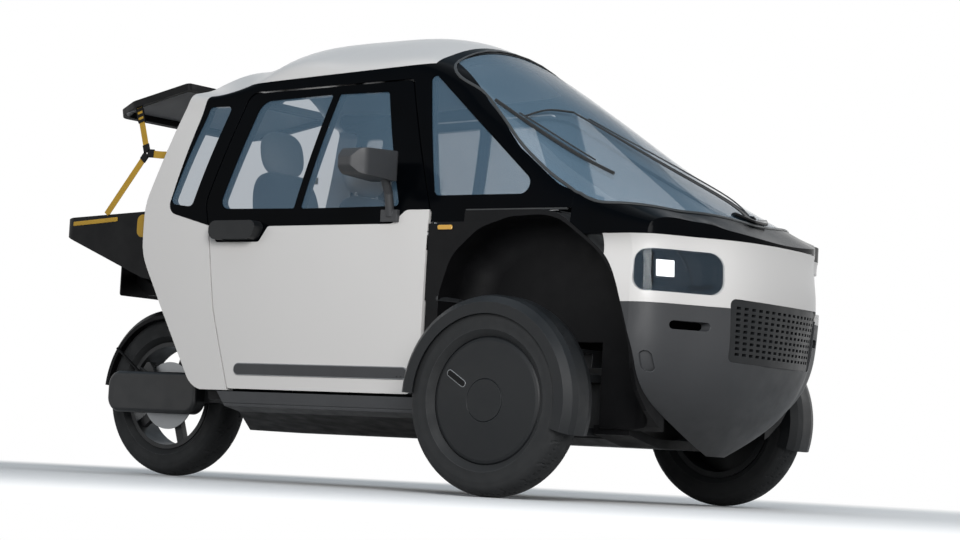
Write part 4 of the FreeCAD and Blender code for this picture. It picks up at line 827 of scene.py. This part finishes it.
def pad(name, centre, half, lean, crown, finish, stands_for=(), power=4.0):
    """A stuffed cushion: a soft block whose faces bulge and whose corners pull in, swelled by pressure."""
    count = 18
    verts, faces = [], []
    shape = bmesh.new()
    bmesh.ops.create_cube(shape, size=2.0)
    bmesh.ops.subdivide_edges(shape, edges=shape.edges, cuts=count, use_grid_fill=True)
    for v in shape.verts:
        p = np.array(v.co)
        q = p / (np.abs(p) ** power).sum() ** (1 / power)
        v.co = Vector((q[0] * half[0], q[1] * half[1], q[2] * half[2])) * MM
        flat = (1 - q[0] ** 2) * (1 - (q[1] if half[1] > half[2] else q[2]) ** 2)
        if half[1] > half[2]:
            v.co.z += crown * MM * flat * (1 if q[2] > 0 else -0.2)
        else:
            v.co.y -= crown * MM * flat * (1 if q[1] < 0 else -0.3)
    mesh = bpy.data.meshes.new(name)
    shape.to_mesh(mesh)
    shape.free()
    mesh.transform(Matrix.Rotation(math.radians(-lean), 4, "X"))
    mesh.transform(Matrix.Translation(centre))
    made = bpy.data.objects.new(name, mesh)
    bpy.context.scene.collection.objects.link(made)
    mesh.shade_smooth()
    mesh.materials.append(finish)
    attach(made, "body")
    if stands_for:
        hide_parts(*stands_for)
    return made


for word, station, base, lean, head in (("front", 1000, 470, 14, 190), ("rear", 1440, 560, 10, 170)):
    stands = ("seats",) if word == "front" else ()
    pad("seat_cushion_" + word, at(0, station - 215, base + 62), (186, 205, 50), 0, 12, FABRIC,
        stands)
    t = math.radians(lean)
    middle = Vector((0, station + math.sin(t) * 300, base + 40 + math.cos(t) * 300))
    pad("seat_back_" + word, at(*middle), (180, 34, 262), lean, 14, FABRIC)
    reach = 560 + head - 95
    rest = Vector((0, station + math.sin(t) * reach, base + 40 + math.cos(t) * reach))
    pad("headrest_" + word, at(*rest), (112, 34, 88), lean, 10, PALE_FABRIC, power=2.6)
    legs = [swept([at(sx * 60, station + math.sin(t) * 520, base + 40 + math.cos(t) * 520),
                   at(sx * 60, station + math.sin(t) * 620, base + 40 + math.cos(t) * 620)], circle(7, 12))
            for sx in (-1, 1)]
    verts, faces = joined(*legs)
    piece("headrest_posts_" + word, verts, faces, CAST_METAL, "body")

verts, faces = joined(
    swept([at(0, 640, 470), at(0, 960, 470)], slab(300, 60, 12), up=Z),
    swept([at(0, 800, 375), at(0, 800, 452)], slab(290, 300, 14), up=Y),
    swept([at(0, 1200, 258), at(0, 1200, 560)], slab(280, 260, 14), up=Y),
    swept([at(0, 1030, 555), at(0, 1400, 555)], slab(300, 40, 10), up=Z))
piece("seat_stands", verts, faces, FRAME_PAINT, "body")

dash = tree_of(["dashboard"])
verts, faces = patch(dash, at(0, 120, 1000), X, Vector((0, 0.9, 0.1)), 118, 40, 10, 9, (20, 8), bevel=2)
piece("display", verts, faces, GLOSS_BLACK_AND_SLOT_SHADE, "body")


# ---- stage, light, camera ----

# Each lamp's name, place and width in metres, and its power in watts.
LAMPS = (("key", (-5.6, -4.4, 2.6), 3.2, 400), ("fill", (4.5, -1.5, 3.2), 3.0, 60),
         ("top", (-0.5, 0.4, 5.2), 4.0, 25))
LAMPS_AIM_AT = Vector((0, 0, 0.7))
# The camera as solved on the photograph's wheels, in metres.
CAMERA_PLACE = (-7.4691, -5.6193, 0.0969)
CAMERA_RIGHT = Vector((0.57928, -0.81346, 0.05219))
CAMERA_UP = Vector((-0.09152, -0.00129, 0.9958))
CAMERA_AHEAD = Vector((0.80998, 0.58162, 0.07519))
CAMERA_LENS = 97.5
CAMERA_SENSOR = 36.0


def seen_directly(tree):
    """1 for what the camera sees itself, in a gloss or through glass, and 0 for other rays."""
    rays = add(tree, "LightPath")
    seen = add(tree, "Math", {0: rays.outputs["Is Camera Ray"],
                              1: rays.outputs["Is Transmission Ray"]}, operation="MAXIMUM")
    return add(tree, "Math", {0: seen.outputs[0], 1: rays.outputs["Is Glossy Ray"]},
               operation="MAXIMUM")


def studio():
    """Plain pale floor, white surroundings that darken overhead, and three soft lamps."""
    mesh = bpy.data.meshes.new("floor")
    reach = 60.0
    corners = [(-reach, -reach, 0), (reach, -reach, 0), (reach, reach, 0), (-reach, reach, 0)]
    mesh.from_pydata(corners, [], [(0, 1, 2, 3)])
    floor = bpy.data.objects.new("floor", mesh)
    bpy.context.scene.collection.objects.link(floor)
    # Painted screed, rolled matt: pale, and it fades into the white surroundings further off.
    made, tree, shader, place = blank("screed_rolled_matt_white")
    drift = add(tree, "TexNoise", {"Vector": place, "Scale": 0.7, "Detail": 2.0})
    shade = add(tree, "MixRGB", {"Fac": drift.outputs[0], "Color1": linear("F4F4F4"),
                                 "Color2": linear("F0F1F1")})
    tree.links.new(shade.outputs[0], shader.inputs["Base Color"])
    shader.inputs["Roughness"].default_value = 0.7
    shader.inputs["Specular IOR Level"].default_value = 0.1
    seen = seen_directly(tree)
    # Other rays find a greyer floor, so that undersides stay dark as they do outdoors.
    grey = add(tree, "BsdfDiffuse", {"Color": linear("606264")})
    away = add(tree, "VectorMath", {0: place}, operation="LENGTH")
    share = add(tree, "MapRange", {"Value": away.outputs["Value"], "From Min": 2.4, "From Max": 5.2,
                                   "To Min": 0.0, "To Max": 1.0}, interpolation_type="SMOOTHSTEP")
    glow = add(tree, "Emission", {"Color": linear("FFFFFF"), "Strength": 1.0})
    pale = add(tree, "MixShader", {0: share.outputs[0], 1: shader.outputs[0], 2: glow.outputs[0]})
    both = add(tree, "MixShader", {0: seen.outputs[0], 1: grey.outputs[0], 2: pale.outputs[0]})
    output = next(n for n in tree.nodes if n.type == "OUTPUT_MATERIAL")
    tree.links.new(both.outputs[0], output.inputs["Surface"])
    mesh.materials.append(made)

    world = bpy.data.worlds.new("studio")
    bpy.context.scene.world = world
    world.use_nodes = True
    tree = world.node_tree
    tree.nodes.clear()
    way = add(tree, "TexCoord").outputs["Generated"]
    height = add(tree, "SeparateXYZ", {"Vector": way}).outputs["Z"]
    share = add(tree, "MapRange", {"Value": height, "From Min": 0.22, "From Max": 0.75,
                                   "To Min": 0.0, "To Max": 1.0}, interpolation_type="SMOOTHSTEP")
    sky = add(tree, "MixRGB", {"Fac": share.outputs[0], "Color1": linear("FFFFFF"),
                               "Color2": linear("8FA2B2")})
    glow = add(tree, "Background", {"Color": sky.outputs[0], "Strength": 1.0})
    dim = add(tree, "Background", {"Color": sky.outputs[0], "Strength": 0.46})
    seen = seen_directly(tree)
    both = add(tree, "MixShader", {0: seen.outputs[0], 1: dim.outputs[0], 2: glow.outputs[0]})
    add(tree, "OutputWorld", {"Surface": both.outputs[0]})

    for name, place, size, power in LAMPS:
        lamp = bpy.data.lights.new(name, "AREA")
        lamp.size = size
        lamp.energy = power
        lit = bpy.data.objects.new(name, lamp)
        bpy.context.scene.collection.objects.link(lit)
        lit.location = place
        aim = LAMPS_AIM_AT - Vector(place)
        lit.rotation_euler = aim.to_track_quat("-Z", "Y").to_euler()
        lit.visible_camera = False


def camera():
    """The photograph's viewpoint, at floor level beside the right front corner."""
    data = bpy.data.cameras.new("camera")
    data.sensor_width = CAMERA_SENSOR
    data.lens = CAMERA_LENS
    made = bpy.data.objects.new("camera", data)
    bpy.context.scene.collection.objects.link(made)
    turn = Matrix((CAMERA_RIGHT, CAMERA_UP, -CAMERA_AHEAD)).transposed().to_4x4()
    made.matrix_world = Matrix.Translation(CAMERA_PLACE) @ turn
    data.clip_end = 200.0
    bpy.context.scene.camera = made


studio()
camera()
bpy.context.scene.view_settings.view_transform = "Standard"
